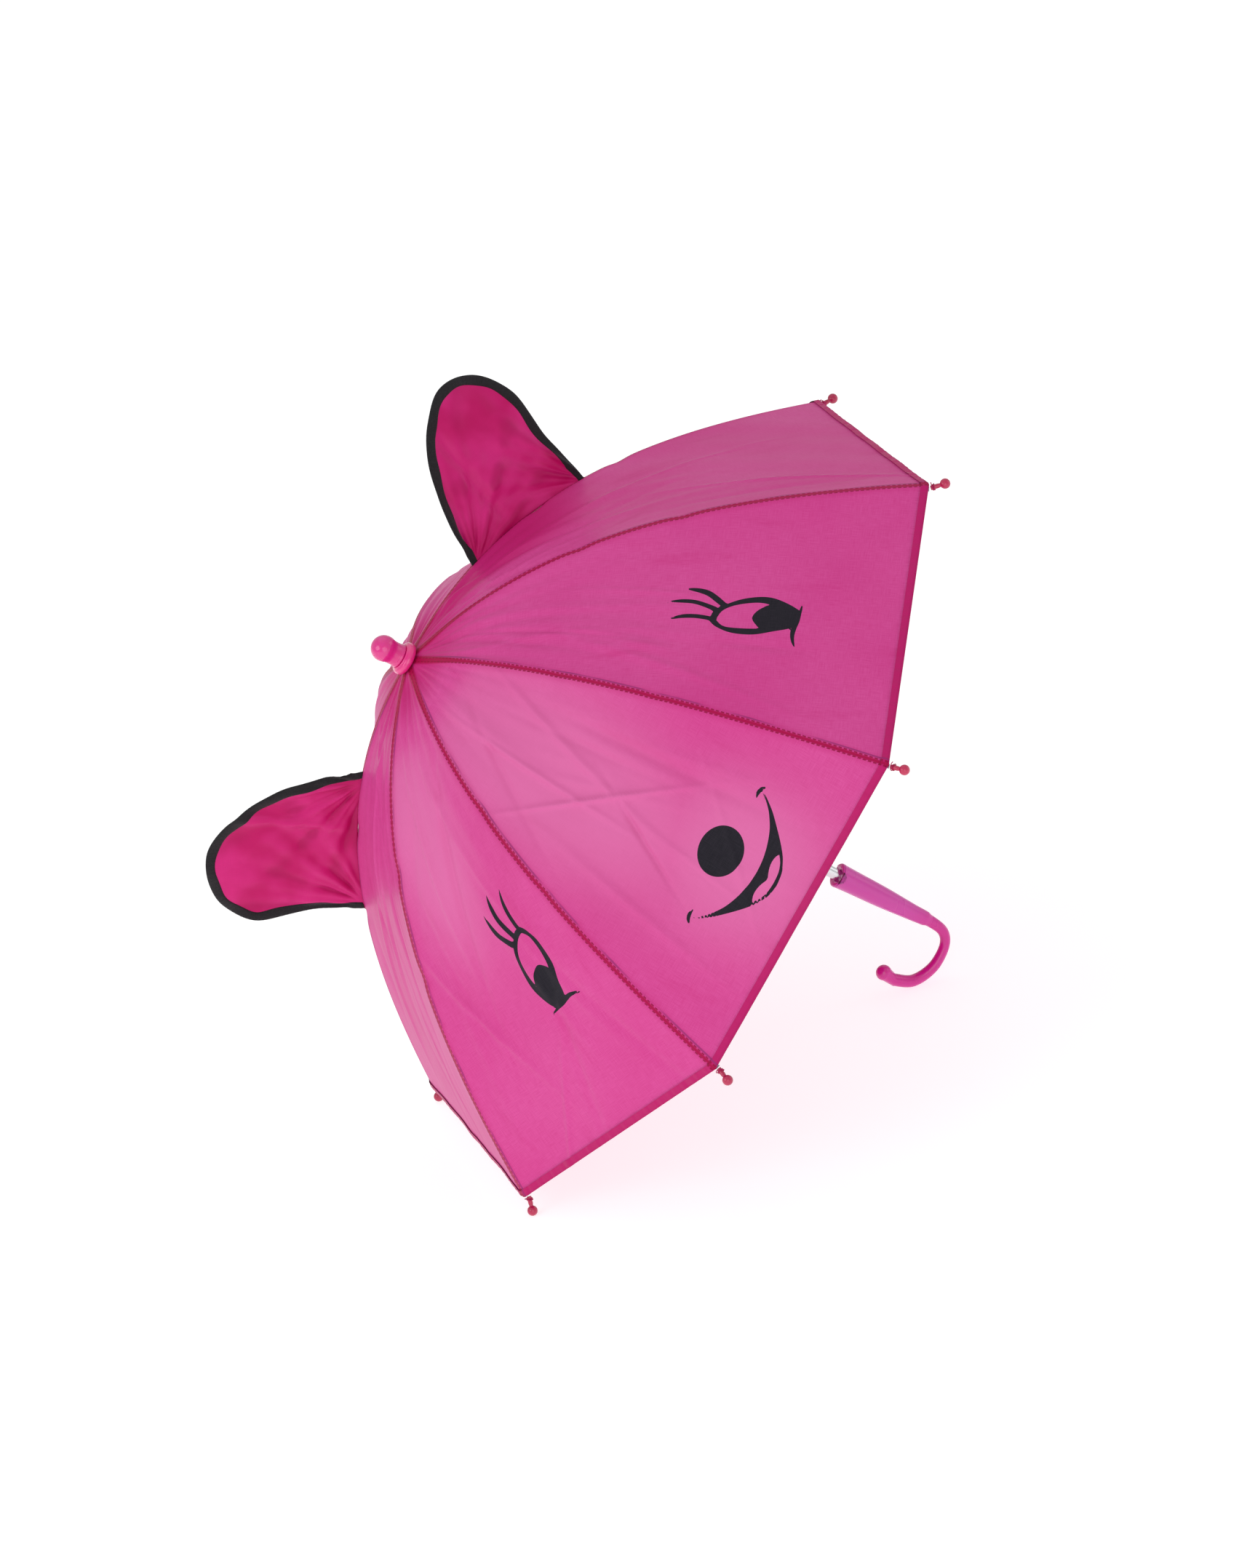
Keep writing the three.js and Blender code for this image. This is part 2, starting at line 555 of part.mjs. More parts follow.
/** The rivet through a rib's lug and the stretcher's fork, about the hinge of the rib. */
function jointRivet() {
  const reach = STRETCHER_WIDTH / 2 + GAP + FORK_CHEEK + GAP;
  const half = [
    [RIVET_RADIUS, reach],
    [RIVET_HEAD_RADIUS, reach],
    [RIVET_HEAD_RADIUS, reach + RIVET_HEAD],
    [0, reach + RIVET_HEAD],
  ];
  const mirrored = half.toReversed().map(([x, y]) => [x, -y]);
  const points = [...mirrored, ...half].map(([x, y]) => new THREE.Vector2(x, y));
  return new THREE.LatheGeometry(points, 10)
    .translate(RIB_JOINT.x - RIB_PIVOT.x, 0, RIB_JOINT.y - RIB_PIVOT.y);
}

/** A stretcher about its hinge on the runner, lying along X to the rib's joint. */
function stretcher() {
  const inner = STRETCHER_WIDTH / 2 + GAP;
  const outer = inner + FORK_CHEEK;
  const forkFrom = STRETCHER_LENGTH - FORK_LENGTH;
  const high = centred(STRETCHER_HEIGHT);
  const cheek = (side) => join(
    box([forkFrom, STRETCHER_LENGTH], side > 0 ? [inner, outer] : [-outer, -inner], high),
    new THREE.CylinderGeometry(JOINT_EYE, JOINT_EYE, FORK_CHEEK, 14)
      .translate(STRETCHER_LENGTH, side * (inner + FORK_CHEEK / 2), 0),
  );
  const solid = join(
    box([0, forkFrom], centred(STRETCHER_WIDTH), high),
    crossBar(JOINT_EYE, STRETCHER_WIDTH, 0, 0),
    box([forkFrom - FORK_ROOT, forkFrom + FORK_ROOT], [-outer, outer], high),
    cheek(1),
    cheek(-1),
  );
  const hingeHole = crossBar(HINGE_WIRE + GAP, WIDE_CUT, 0, 0);
  const rivetHole = crossBar(RIVET_RADIUS + GAP, WIDE_CUT, STRETCHER_LENGTH, 0);
  return cut(solid, hingeHole, rivetHole);
}

// ---- Fabric ----------------------------------------------------------------------------------------

/** Part of the fabric beside a rib, about the rib's hinge. */
function fabricSolid(shares, acrosses, top, bottom) {
  const sheet = (drop) => shares.map((share) => acrosses.map((across) => onPanel(share, across, drop)));
  return sheetSolid([sheet(top), sheet(bottom)]).translate(-RIB_PIVOT.x, 0, -RIB_PIVOT.y);
}

/** A gore: the two half panels that hang on one rib. */
function canopyGore() {
  return fabricSolid([CANOPY_START, ...steps(0, 1, CANOPY_ROWS)], [-1, 0, 1], 0, FABRIC);
}

/** The strap that ties the folded canopy, lying on the panel next to its seam. */
function closureStrap() {
  const { from, to, inner, outer, thickness } = STRAP;
  return fabricSolid(steps(from, to, 8), [inner, outer], -GAP - thickness, -GAP);
}

/** An ear's fabric and its binding, about the hinge of its rib. */
function ear({ baseFrom, baseTo, outline }) {
  const from = onCanopy(baseFrom, 0);
  const to = onCanopy(baseTo, 0);
  const along = to.clone().sub(from).normalize();
  const out = new THREE.Vector2(-along.y, along.x);
  const middle = from.clone().add(to).multiplyScalar(0.5);
  const placed = outline.map(([x, y]) => middle.clone().addScaledVector(along, x).addScaledVector(out, y));
  const edge = new THREE.SplineCurve(placed);
  const outside = steps(0, 1, EAR_STEPS).map((u) => edge.getPoint(u));
  const inset = (depth) => steps(0, 1, EAR_STEPS).map((u) => {
    const tangent = edge.getTangent(u);
    return edge.getPoint(u).addScaledVector(new THREE.Vector2(tangent.y, -tangent.x), depth);
  });
  const canopySide = steps(0, 1, EAR_STEPS).map((s) => onCanopy(s, -GAP));
  canopySide.push(
    new THREE.Vector2(CORNER.x, -WIDE_CUT),
    new THREE.Vector2(0, -WIDE_CUT),
    new THREE.Vector2(0, CROWN_HEIGHT),
  );
  const below = () => plate(canopySide, WIDE_CUT);
  const band = [...outside, ...inset(EAR_BINDING_WIDTH).reverse()];
  const move = (solid) => solid.translate(-RIB_PIVOT.x, 0, -RIB_PIVOT.y);
  return {
    fabric: move(cut(plate(inset(EAR_BINDING_WIDTH + GAP), EAR_FABRIC), below())),
    binding: move(cut(plate(band, EAR_BINDING), below())),
  };
}

// ---- Assembly --------------------------------------------------------------------------------------

function named(name, geometry, material) {
  const mesh = new THREE.Mesh(geometry, material);
  mesh.name = name;
  return mesh;
}

function placedAt(mesh, radius, height, angle) {
  const arm = new THREE.Group();
  arm.rotation.z = angle;
  mesh.position.set(radius, 0, height);
  arm.add(mesh);
  return arm;
}

/** The open umbrella about its own axis. */
function umbrella() {
  const whole = new THREE.Group();
  const topCatch = named('top_catch', springCatch(), MATERIALS.steel);
  const bottomCatch = named('bottom_catch', springCatch(), MATERIALS.steel);
  whole.add(
    named('shaft_tube', shaftTube(), MATERIALS.steel),
    named('handle', handle(), MATERIALS.handle),
    named('ferrule_cap', ferruleCap(), MATERIALS.ferrule),
    named('ferrule_collar', ferruleCollar(), MATERIALS.ferrule),
    named('top_notch', topNotch(), MATERIALS.nylon),
    named('stop_pin', stopPin(), MATERIALS.steel),
    named('runner', runner(), MATERIALS.nylon),
    placedAt(named('notch_wire', ringWire(), MATERIALS.darkSteel), 0, RIB_PIVOT.y, 0),
    placedAt(named('runner_wire', ringWire(), MATERIALS.darkSteel), 0, RUNNER_OPEN_HEIGHT, 0),
    placedAt(topCatch, 0, TOP_CATCH_HEIGHT, TOP_CATCH_ANGLE),
    placedAt(bottomCatch, 0, BOTTOM_CATCH_HEIGHT, BOTTOM_CATCH_ANGLE),
  );
  const shapes = { rib: rib(), tip: ribTip(), rivet: jointRivet(), stretcher: stretcher(), gore: canopyGore() };
  for (let n = 1; n <= RIB_COUNT; n++) {
    const onRib = (name, geometry, material) =>
      placedAt(named(name, geometry, material), RIB_PIVOT.x, RIB_PIVOT.y, ribAngle(n));
    whole.add(
      onRib(`rib_${n}`, shapes.rib.clone(), MATERIALS.darkSteel),
      onRib(`rib_tip_${n}`, shapes.tip.clone(), MATERIALS.tip),
      onRib(`joint_rivet_${n}`, shapes.rivet.clone(), MATERIALS.steel),
      onRib(`canopy_gore_${n}`, shapes.gore.clone(), MATERIALS.canopy),
    );
    const bar = named(`stretcher_${n}`, shapes.stretcher.clone(), MATERIALS.darkSteel);
    bar.rotation.y = -STRETCHER_OPEN;
    whole.add(placedAt(bar, STRETCHER_PIVOT.x, STRETCHER_PIVOT.y, ribAngle(n)));
  }
  for (const [name, spec] of Object.entries(EARS)) {
    const { fabric, binding } = ear(spec);
    const cloth = named(`ear_${name}`, fabric, MATERIALS.ear);
    const tape = named(`ear_${name}_binding`, binding, MATERIALS.binding);
    whole.add(
      placedAt(cloth, RIB_PIVOT.x, RIB_PIVOT.y, ribAngle(spec.rib)),
      placedAt(tape, RIB_PIVOT.x, RIB_PIVOT.y, ribAngle(spec.rib)),
    );
  }
  const strap = named('closure_strap', closureStrap(), MATERIALS.canopy);
  whole.add(placedAt(strap, RIB_PIVOT.x, RIB_PIVOT.y, ribAngle(STRAP.rib)));
  return whole;
}

/** How far the umbrella reaches along a direction in the plane of its underside and axis, `tilt` from the
 *  axis: first over the two lowest tip balls, then over the handle. */
function reaches(tilt) {
  const [out, down] = [Math.cos(tilt), Math.sin(tilt)];
  const tips = OPEN_RADIUS * Math.cos(RIB_STEP / 2) * out + TIP_BALL;
  const spheres = [...HANDLE_SECTIONS, [HOOK_BALL, HOOK_END[2]]];
  const hook = Math.max(...spheres.map(([centre, radius]) => -centre.x * out - centre.z * down + radius));
  return { tips, hook };
}

/** The angle between the axis and the floor at which the tip balls and the hook touch it together. */
function restingTilt() {
  let [low, high] = [0, Math.PI / 2];
  for (let i = 0; i < 50; i++) {
    const middle = (low + high) / 2;
    const { tips, hook } = reaches(middle);
    if (tips > hook) low = middle;
    else high = middle;
  }
  return low;
}

/** The umbrella on the floor, z = 0, with the middle of its box over the origin. */
function laidDown() {
  const tilt = restingTilt();
  const own = umbrella();
  own.rotation.y = tilt - Math.PI / 2;
  own.position.z = reaches(tilt).tips;
  const laid = new THREE.Group().add(own);
  const middle = new THREE.Box3().setFromObject(laid, true).getCenter(new THREE.Vector3());
  own.position.x = -middle.x;
  own.position.y = -middle.y;
  laid.userData = { tilt, RIB_FOLD, STRETCHER_FOLD, RUNNER_STROKE, CATCH_TRAVEL };
  return laid;
}

export default laidDown();
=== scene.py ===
"""Builds the looks of a small child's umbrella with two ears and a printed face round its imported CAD
part."""

import json
import math

import bmesh
import bpy
import numpy as np
from mathutils import Matrix, Vector


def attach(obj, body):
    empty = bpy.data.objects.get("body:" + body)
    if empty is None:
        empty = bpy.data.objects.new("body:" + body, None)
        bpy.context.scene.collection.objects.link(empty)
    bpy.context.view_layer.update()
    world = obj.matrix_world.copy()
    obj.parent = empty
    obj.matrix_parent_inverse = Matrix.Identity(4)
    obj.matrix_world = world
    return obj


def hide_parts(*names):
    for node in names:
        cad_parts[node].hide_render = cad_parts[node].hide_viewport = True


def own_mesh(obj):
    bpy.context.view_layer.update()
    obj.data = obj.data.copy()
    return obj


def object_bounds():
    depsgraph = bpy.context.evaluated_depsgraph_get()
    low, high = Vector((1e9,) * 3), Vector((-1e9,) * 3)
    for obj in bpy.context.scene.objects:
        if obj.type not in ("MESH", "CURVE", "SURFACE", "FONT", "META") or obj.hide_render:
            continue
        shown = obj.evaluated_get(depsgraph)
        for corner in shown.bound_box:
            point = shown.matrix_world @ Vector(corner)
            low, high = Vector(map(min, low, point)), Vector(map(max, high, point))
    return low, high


bl_info = {
    "name": "Child's umbrella",
    "version": (1, 0, 0),
    "blender": (4, 5, 0),
    "location": "View3D > Sidebar > Umbrella",
    "description": "Canopy, ears, handle and fittings of a small umbrella, built round its CAD part",
    "category": "Object",
}

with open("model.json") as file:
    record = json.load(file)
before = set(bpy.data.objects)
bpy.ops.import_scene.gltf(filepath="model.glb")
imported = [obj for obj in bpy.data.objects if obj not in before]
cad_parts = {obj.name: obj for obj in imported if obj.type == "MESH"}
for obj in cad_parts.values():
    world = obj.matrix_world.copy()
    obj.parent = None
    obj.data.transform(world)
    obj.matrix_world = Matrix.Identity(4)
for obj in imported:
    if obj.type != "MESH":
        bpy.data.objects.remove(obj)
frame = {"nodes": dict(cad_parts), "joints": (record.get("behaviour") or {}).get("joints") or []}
CAD_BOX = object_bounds()
JOINTS = {joint["name"]: joint for joint in frame["joints"]}

# ---- Sizes, in millimetres --------------------------------------------------------------------------

RIBS = 8
HALF_STEP = math.pi / RIBS
TO_MIDDLE = np.array([math.cos(HALF_STEP), 1])  # from a place on a ridge to the middle of the panel beside it
HINGE_HEIGHT = 219.114  # the ribs' hinge ring over the plane of the tip balls
CROWN = np.array([13.5, 221.8])
CORNER = np.array([294.0, 8.6])
CROWN_PULL = 131.7
CROWN_SLOPE = math.radians(9)
RIM_PULL = 119.6
RIM_SLOPE = math.radians(55.3)
GAP = 0.3
FABRIC = 1.0
RIB_DROP = 3.2  # from the fabric's outside to a rib's centre line
TUBE_RADIUS = 4.0
TIES = (0.35, 0.55)  # where the canopy is tied to each rib, as shares of its curve
TIE_LENGTH = 0.006  # half length of a tie's thread, and of the cloth drawn in by it, as shares of the curve
TIE_REACH = 0.022
DRAWN_IN = 1.1
HEM = 5.0
HEM_SHARE = 0.975  # past this share of the rows they stand closer together
HEM_ROWS = 22
HEM_UNDER = ((1.0, 0.5), (0.996, 0.9), (0.985, 0.9))  # share and depth of the rows of the hem's underside
CLOTH_WALL = 0.7
ROUND_FACE = 0.97  # a face counts as round where its normal and the way out from the axis have this product


# ---- The umbrella's own frame -----------------------------------------------------------------------

UP = -np.array(JOINTS["runner_slide"]["axis"], float)
UP /= np.linalg.norm(UP)
HINGES = [np.array(JOINTS[f"rib_{n}_fold"]["pos_m"], float) for n in range(1, RIBS + 1)]
HUB = np.mean(HINGES, axis=0)
ORIGIN = HUB - UP * HINGE_HEIGHT / 1000


def unit(vector):
    return vector / np.linalg.norm(vector)


def rib_out(n):
    """The direction in which rib n runs out from the tube. Rib 9 is rib 1 again, and rib 0 is rib 8."""
    return unit(HINGES[(n - 1) % RIBS] - HUB)


def panel_before(n):
    """The panel on the other side of rib n from panel n."""
    return (n - 2) % RIBS + 1


def panel_out(n):
    """The direction of the middle of panel n, between ribs n and n + 1."""
    return unit(rib_out(n) + rib_out(n + 1))


def placed(out, side, up, direction):
    """Points of the part's frame in metres, from millimetres out along a direction, to its side and up the
    tube."""
    across = np.cross(UP, direction)
    out, side, up = np.broadcast_arrays(out, side, up)
    points = out[..., None] * direction + side[..., None] * across + up[..., None] * UP
    return ORIGIN + points / 1000


def canopy_curve(share, drop=0.0):
    """Radius and height of the canopy's ridge, and its direction: a cubic Bezier curve from crown to
    corner, moved inwards by drop. Below share 0 and past share 1 it runs on straight."""
    share = np.asarray(share, float)
    s = np.clip(share, 0, 1)[..., None]
    one = CROWN + CROWN_PULL * np.array([math.cos(CROWN_SLOPE), -math.sin(CROWN_SLOPE)])
    two = CORNER + RIM_PULL * np.array([-math.cos(RIM_SLOPE), math.sin(RIM_SLOPE)])
    point = (1 - s) ** 3 * CROWN + 3 * (1 - s) ** 2 * s * one
    point = point + 3 * (1 - s) * s**2 * two + s**3 * CORNER
    along = (1 - s) ** 2 * (one - CROWN) + 2 * (1 - s) * s * (two - one)
    along = along + s**2 * (CORNER - two)
    along = along / np.linalg.norm(along, axis=-1, keepdims=True)
    past = 3 * CROWN_PULL * np.minimum(share, 0) + 3 * RIM_PULL * np.maximum(share - 1, 0)
    point = point + along * past[..., None]
    inward = np.stack([along[..., 1], -along[..., 0]], axis=-1)
    return point + inward * drop, along


def share_at(radius, drop):
    """The share at which the canopy, moved inwards by drop, has this radius."""
    shares = np.linspace(-0.1, 1, 4001)
    return float(np.interp(radius, canopy_curve(shares, drop)[0][:, 0], shares))


CANOPY_START = share_at((TUBE_RADIUS + GAP) / math.cos(HALF_STEP), FABRIC)
COLLAR_BOTTOM = float(canopy_curve(CANOPY_START)[0][1]) + GAP
TABLE_SHARES = np.linspace(CANOPY_START, 1, 1200)
MIDDLE = canopy_curve(TABLE_SHARES)[0] * TO_MIDDLE
TABLE_LENGTHS = np.concatenate([[0], np.cumsum(np.linalg.norm(np.diff(MIDDLE, axis=0), axis=1))])
CROWN_LENGTH = float(np.interp(0, TABLE_SHARES, TABLE_LENGTHS))
PANEL_LENGTH = float(TABLE_LENGTHS[-1]) - CROWN_LENGTH


def from_crown(share):
    """Length along the middle of a panel from the crown's edge to a share, in millimetres."""
    return np.interp(share, TABLE_SHARES, TABLE_LENGTHS) - CROWN_LENGTH


def smooth_step(low, high, value):
    t = np.clip((value - low) / (high - low), 0, 1)
    return t * t * (3 - 2 * t)


def smooth_path(points, u):
    """A Catmull-Rom curve through points, at each u from 0 to 1. A point given twice makes a corner."""
    points = np.asarray(points, float)
    at = np.clip(np.asarray(u, float), 0, 1) * (len(points) - 1)
    i = np.minimum(at.astype(int), len(points) - 2)
    t = (at - i)[:, None]
    p0, p1 = points[np.maximum(i - 1, 0)], points[i]
    p2, p3 = points[i + 1], points[np.minimum(i + 2, len(points) - 1)]
    return 0.5 * (
        2 * p1
        + (p2 - p0) * t
        + (2 * p0 - 5 * p1 + 4 * p2 - p3) * t**2
        + (3 * p1 - p0 - 3 * p2 + p3) * t**3
    )


# ---- Meshes -----------------------------------------------------------------------------------------


def grid_quads(rows, columns, wrap=False):
    """Quads of a grid of points, row after row. With wrap, the last column joins the first."""
    r, c = np.meshgrid(np.arange(rows - 1), np.arange(columns if wrap else columns - 1), indexing="ij")
    right = (c + 1) % columns
    quads = [r * columns + c, r * columns + right, (r + 1) * columns + right, (r + 1) * columns + c]
    return np.stack(quads, axis=-1).reshape(-1, 4)


def linked(name, data):
    """A new object of the scene, at the origin."""
    thing = bpy.data.objects.new(name, data)
    bpy.context.scene.collection.objects.link(thing)
    return thing


def mesh_object(name, points, faces, material, smooth=True, values=None, uv=None, normals=None):
    """A mesh object at the origin from points in metres. values are float attributes, uv a pair per
    point."""
    mesh = bpy.data.meshes.new(name)
    mesh.from_pydata(points.reshape(-1, 3).tolist(), [], [tuple(f) for f in faces])
    mesh.polygons.foreach_set("use_smooth", np.full(len(mesh.polygons), smooth))
    for key, value in (values or {}).items():
        attribute = mesh.attributes.new(key, "FLOAT", "POINT")
        attribute.data.foreach_set("value", np.ravel(value).astype(np.float32))
    if uv is not None:
        corner = np.zeros(len(mesh.loops), np.int32)
        mesh.loops.foreach_get("vertex_index", corner)
        layer = mesh.uv_layers.new(name="cloth")
        layer.data.foreach_set("uv", uv.reshape(-1, 2)[corner].astype(np.float32).ravel())
    mesh.validate()
    if normals is not None:
        mesh.normals_split_custom_set_from_vertices(normals.reshape(-1, 3).tolist())
    mesh.materials.append(material)
    return linked(name, mesh)


def tube_faces(rings, sides):
    """Faces of closed rings in a row, with a fan at each end round its own last point."""
    quads = [tuple(q) for q in grid_quads(rings, sides, wrap=True)]
    first, last = rings * sides, rings * sides + 1
    turn = np.roll(np.arange(sides), -1)
    quads += [(first, int(turn[s]), s) for s in range(sides)]
    base = (rings - 1) * sides
    quads += [(last, base + s, base + int(turn[s])) for s in range(sides)]
    return quads


def swept(name, centres, inward, across, radii, material, sides):
    """A rod: round sections of the given radii about the centres, in the plane of inward and across. Each
    end is closed by a point at the middle of its ring."""
    angle = np.linspace(0, 2 * np.pi, sides, endpoint=False)
    ring = np.cos(angle)[None, :, None] * inward[:, None, :]
    ring = ring + np.sin(angle)[None, :, None] * across[:, None, :]
    points = centres[:, None, :] + ring * np.asarray(radii)[:, None, None]
    points = np.concatenate([points.reshape(-1, 3), centres[:1], centres[-1:]])
    return mesh_object(name, points, tube_faces(len(centres), sides), material)


def lathe(name, profile, start, axis, material, sides):
    """A shape turned about an axis: profile is [radius, height] pairs in millimetres from its foot to its
    top, and start is the foot's place in metres. It is closed by a point at each end."""
    axis = unit(np.asarray(axis, float))
    inward = unit(np.cross(axis, [0.3, 1.0, 0.2]))
    across = np.cross(axis, inward)
    profile = np.asarray(profile, float)
    centres = np.asarray(start) + profile[:, 1:] / 1000 * axis
    inward, across = (np.repeat(way[None], len(profile), axis=0) for way in (inward, across))
    return swept(name, centres, inward, across, profile[:, 0] / 1000, material, sides)


def rounded(profile, radius, steps=5):
    """The same profile with each inner corner cut by a round of about that radius."""
    profile = [np.array(p, float) for p in profile]
    out = [profile[0]]
    for before, here, after in zip(profile, profile[1:], profile[2:]):
        back, on = before - here, after - here
        reach = min(radius, np.linalg.norm(back) / 2, np.linalg.norm(on) / 2)
        a, b = here + unit(back) * reach, here + unit(on) * reach
        for t in np.linspace(0, 1, steps):
            out.append((1 - t) ** 2 * a + 2 * (1 - t) * t * here + t * t * b)
    out.append(profile[-1])
    return np.array(out)


def round_normals(mesh):
    """Normals for a piece turned about the tube: straight out from the axis or in to it on the round
    faces, and each other face's own normal."""
    points = np.zeros(len(mesh.vertices) * 3)
    mesh.vertices.foreach_get("co", points)
    points = points.reshape(-1, 3) - HUB
    facing = np.zeros(len(mesh.polygons) * 3)
    mesh.polygons.foreach_get("normal", facing)
    sizes = np.zeros(len(mesh.polygons), np.int32)
    mesh.polygons.foreach_get("loop_total", sizes)
    corner = np.zeros(len(mesh.loops), np.int32)
    mesh.loops.foreach_get("vertex_index", corner)
    facing = np.repeat(facing.reshape(-1, 3), sizes, axis=0)
    out = points[corner] - (points[corner] @ UP)[:, None] * UP
    out /= np.maximum(np.linalg.norm(out, axis=1, keepdims=True), 1e-9)
    along = np.einsum("ij,ij->i", out, facing)[:, None]
    return np.where(along > ROUND_FACE, out, np.where(along < -ROUND_FACE, -out, facing)).tolist()


def smoothed_copy(name, node, body, material, slot):
    """A copy of a CAD node turned about the tube, with round_normals, which stands for the node."""
    mesh = frame["nodes"][node].data.copy()
    mesh.name = name
    piece = linked(name, mesh)
    mesh.polygons.foreach_set("use_smooth", np.full(len(mesh.polygons), True))
    mesh.normals_split_custom_set(round_normals(mesh))
    mesh.materials.clear()
    mesh.materials.append(material)
    return finish_piece(piece, body, slot, node)


def turned_out(piece):
    """Turns a closed mesh's faces outwards."""
    work = bmesh.new()
    work.from_mesh(piece.data)
    bmesh.ops.recalc_face_normals(work, faces=work.faces)
    work.to_mesh(piece.data)
    work.free()


def two_layers(piece):
    """Gives cloth its thickness."""
    wall = piece.modifiers.new("two layers", "SOLIDIFY")
    wall.thickness = CLOTH_WALL / 1000
    wall.offset = 0


def fold_up(piece):
    """Gives the piece its own copy of its mesh."""
    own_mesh(piece)


def finish_piece(piece, body, slot, *nodes):
    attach(piece, body)
    if nodes:
        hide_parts(*nodes)
    return piece


# ---- Materials --------------------------------------------------------------------------------------


def linear(colour):
    """A screen colour, three numbers up to 255, as linear light."""
    c = np.array(colour[:3], float) / 255
    return tuple(np.where(c <= 0.04045, c / 12.92, ((c + 0.055) / 1.055) ** 2.4)) + (1.0,)


class Surface:
    """A node material under construction."""

    def __init__(self, name, **sockets):
        self.material = bpy.data.materials.new(name)
        self.material.use_nodes = True
        self.tree = self.material.node_tree
        self.tree.nodes.clear()
        output = self.add("ShaderNodeOutputMaterial")
        self.shader = self.add("ShaderNodeBsdfPrincipled")
        self.tree.links.new(self.shader.outputs[0], output.inputs[0])
        for key, value in sockets.items():
            self.shader.inputs[key.replace("_", " ")].default_value = value

    def add(self, kind, inputs=None, **settings):
        node = self.tree.nodes.new(kind)
        for key, value in settings.items():
            setattr(node, key, value)
        for key, value in (inputs or {}).items():
            self.give(node, key, value)
        return node

    def give(self, node, key, value):
        if isinstance(value, bpy.types.NodeSocket):
            self.tree.links.new(value, node.inputs[key])
        else:
            node.inputs[key].default_value = value

    def set(self, key, value):
        self.give(self.shader, key, value)

    def value(self, name):
        return self.add("ShaderNodeAttribute", attribute_name=name).outputs["Fac"]

    def place(self):
        return self.add("ShaderNodeTexCoord").outputs["Object"]

    def cloth(self):
        return self.add("ShaderNodeUVMap", uv_map="cloth").outputs["UV"]

    def maths(self, operation, one, two=0.0, three=0.0):
        node = self.add("ShaderNodeMath", operation=operation)
        for i, v in enumerate((one, two, three)):
            self.give(node, i, v)
        return node.outputs[0]

    def stretched(self, where, scale):
        return self.add("ShaderNodeMapping", {"Vector": where, "Scale": scale}).outputs[0]

    def noise(self, where, scale, detail=2.0, roughness=0.5):
        return self.add(
            "ShaderNodeTexNoise",
            {"Vector": where, "Scale": scale, "Detail": detail, "Roughness": roughness},
        ).outputs["Fac"]

    def step(self, value, low, high, to_low=0.0, to_high=1.0):
        """to_low below low, to_high above high, and smooth between."""
        return self.add(
            "ShaderNodeMapRange",
            {"Value": value, "From Min": low, "From Max": high, "To Min": to_low, "To Max": to_high},
            interpolation_type="SMOOTHSTEP",
        ).outputs["Result"]

    def dashes(self, along, length):
        """1 on the first half of each length, and 0 on the rest."""
        return self.step(self.maths("FRACT", self.maths("DIVIDE", along, length)), 0.55, 0.7, 1.0, 0.0)

    def line(self, value, middle, near, far):
        """1 where the value is within near of the middle, and 0 past far."""
        off = self.maths("ABSOLUTE", self.maths("SUBTRACT", value, middle))
        return self.step(off, near, far, 1.0, 0.0)

    def mix(self, share, one, two):
        node = self.add("ShaderNodeMix", data_type="RGBA")
        self.give(node, 0, share)
        self.give(node, 6, one)
        self.give(node, 7, two)
        return node.outputs[2]

    def bump(self, *layers):
        """Bump layers, each (height, distance in metres, strength), one over the other."""
        normal = None
        for height, distance, strength in layers:
            inputs = {"Height": height, "Distance": distance, "Strength": strength}
            if normal is not None:
                inputs["Normal"] = normal
            normal = self.add("ShaderNodeBump", inputs).outputs[0]
        self.set("Normal", normal)


def weave(surface, scale=1.0):
    """Threads that cross: two noises stretched along and across the cloth, and the two as one height."""
    cloth = surface.cloth()
    warp = surface.noise(surface.stretched(cloth, (2600 * scale, 110 * scale, 1)), 1.0, 2.0)
    weft = surface.noise(surface.stretched(cloth, (110 * scale, 2600 * scale, 1)), 1.0, 2.0)
    return surface.maths("ADD", surface.maths("MULTIPLY", warp, 0.5), surface.maths("MULTIPLY", weft, 0.5))


# Rows of thread beside a seam and along the hem, in millimetres, and the length of a stitch in each.
SEAM_ROW, SEAM_STITCH = 1.5, 3.4
HEM_ROW, HEM_STITCH = 4.1, 3.2
# Distance from the seam of the painted shadow of the rib and pleat, in millimetres.
PLEAT_SHADOW_ROW = 2.9


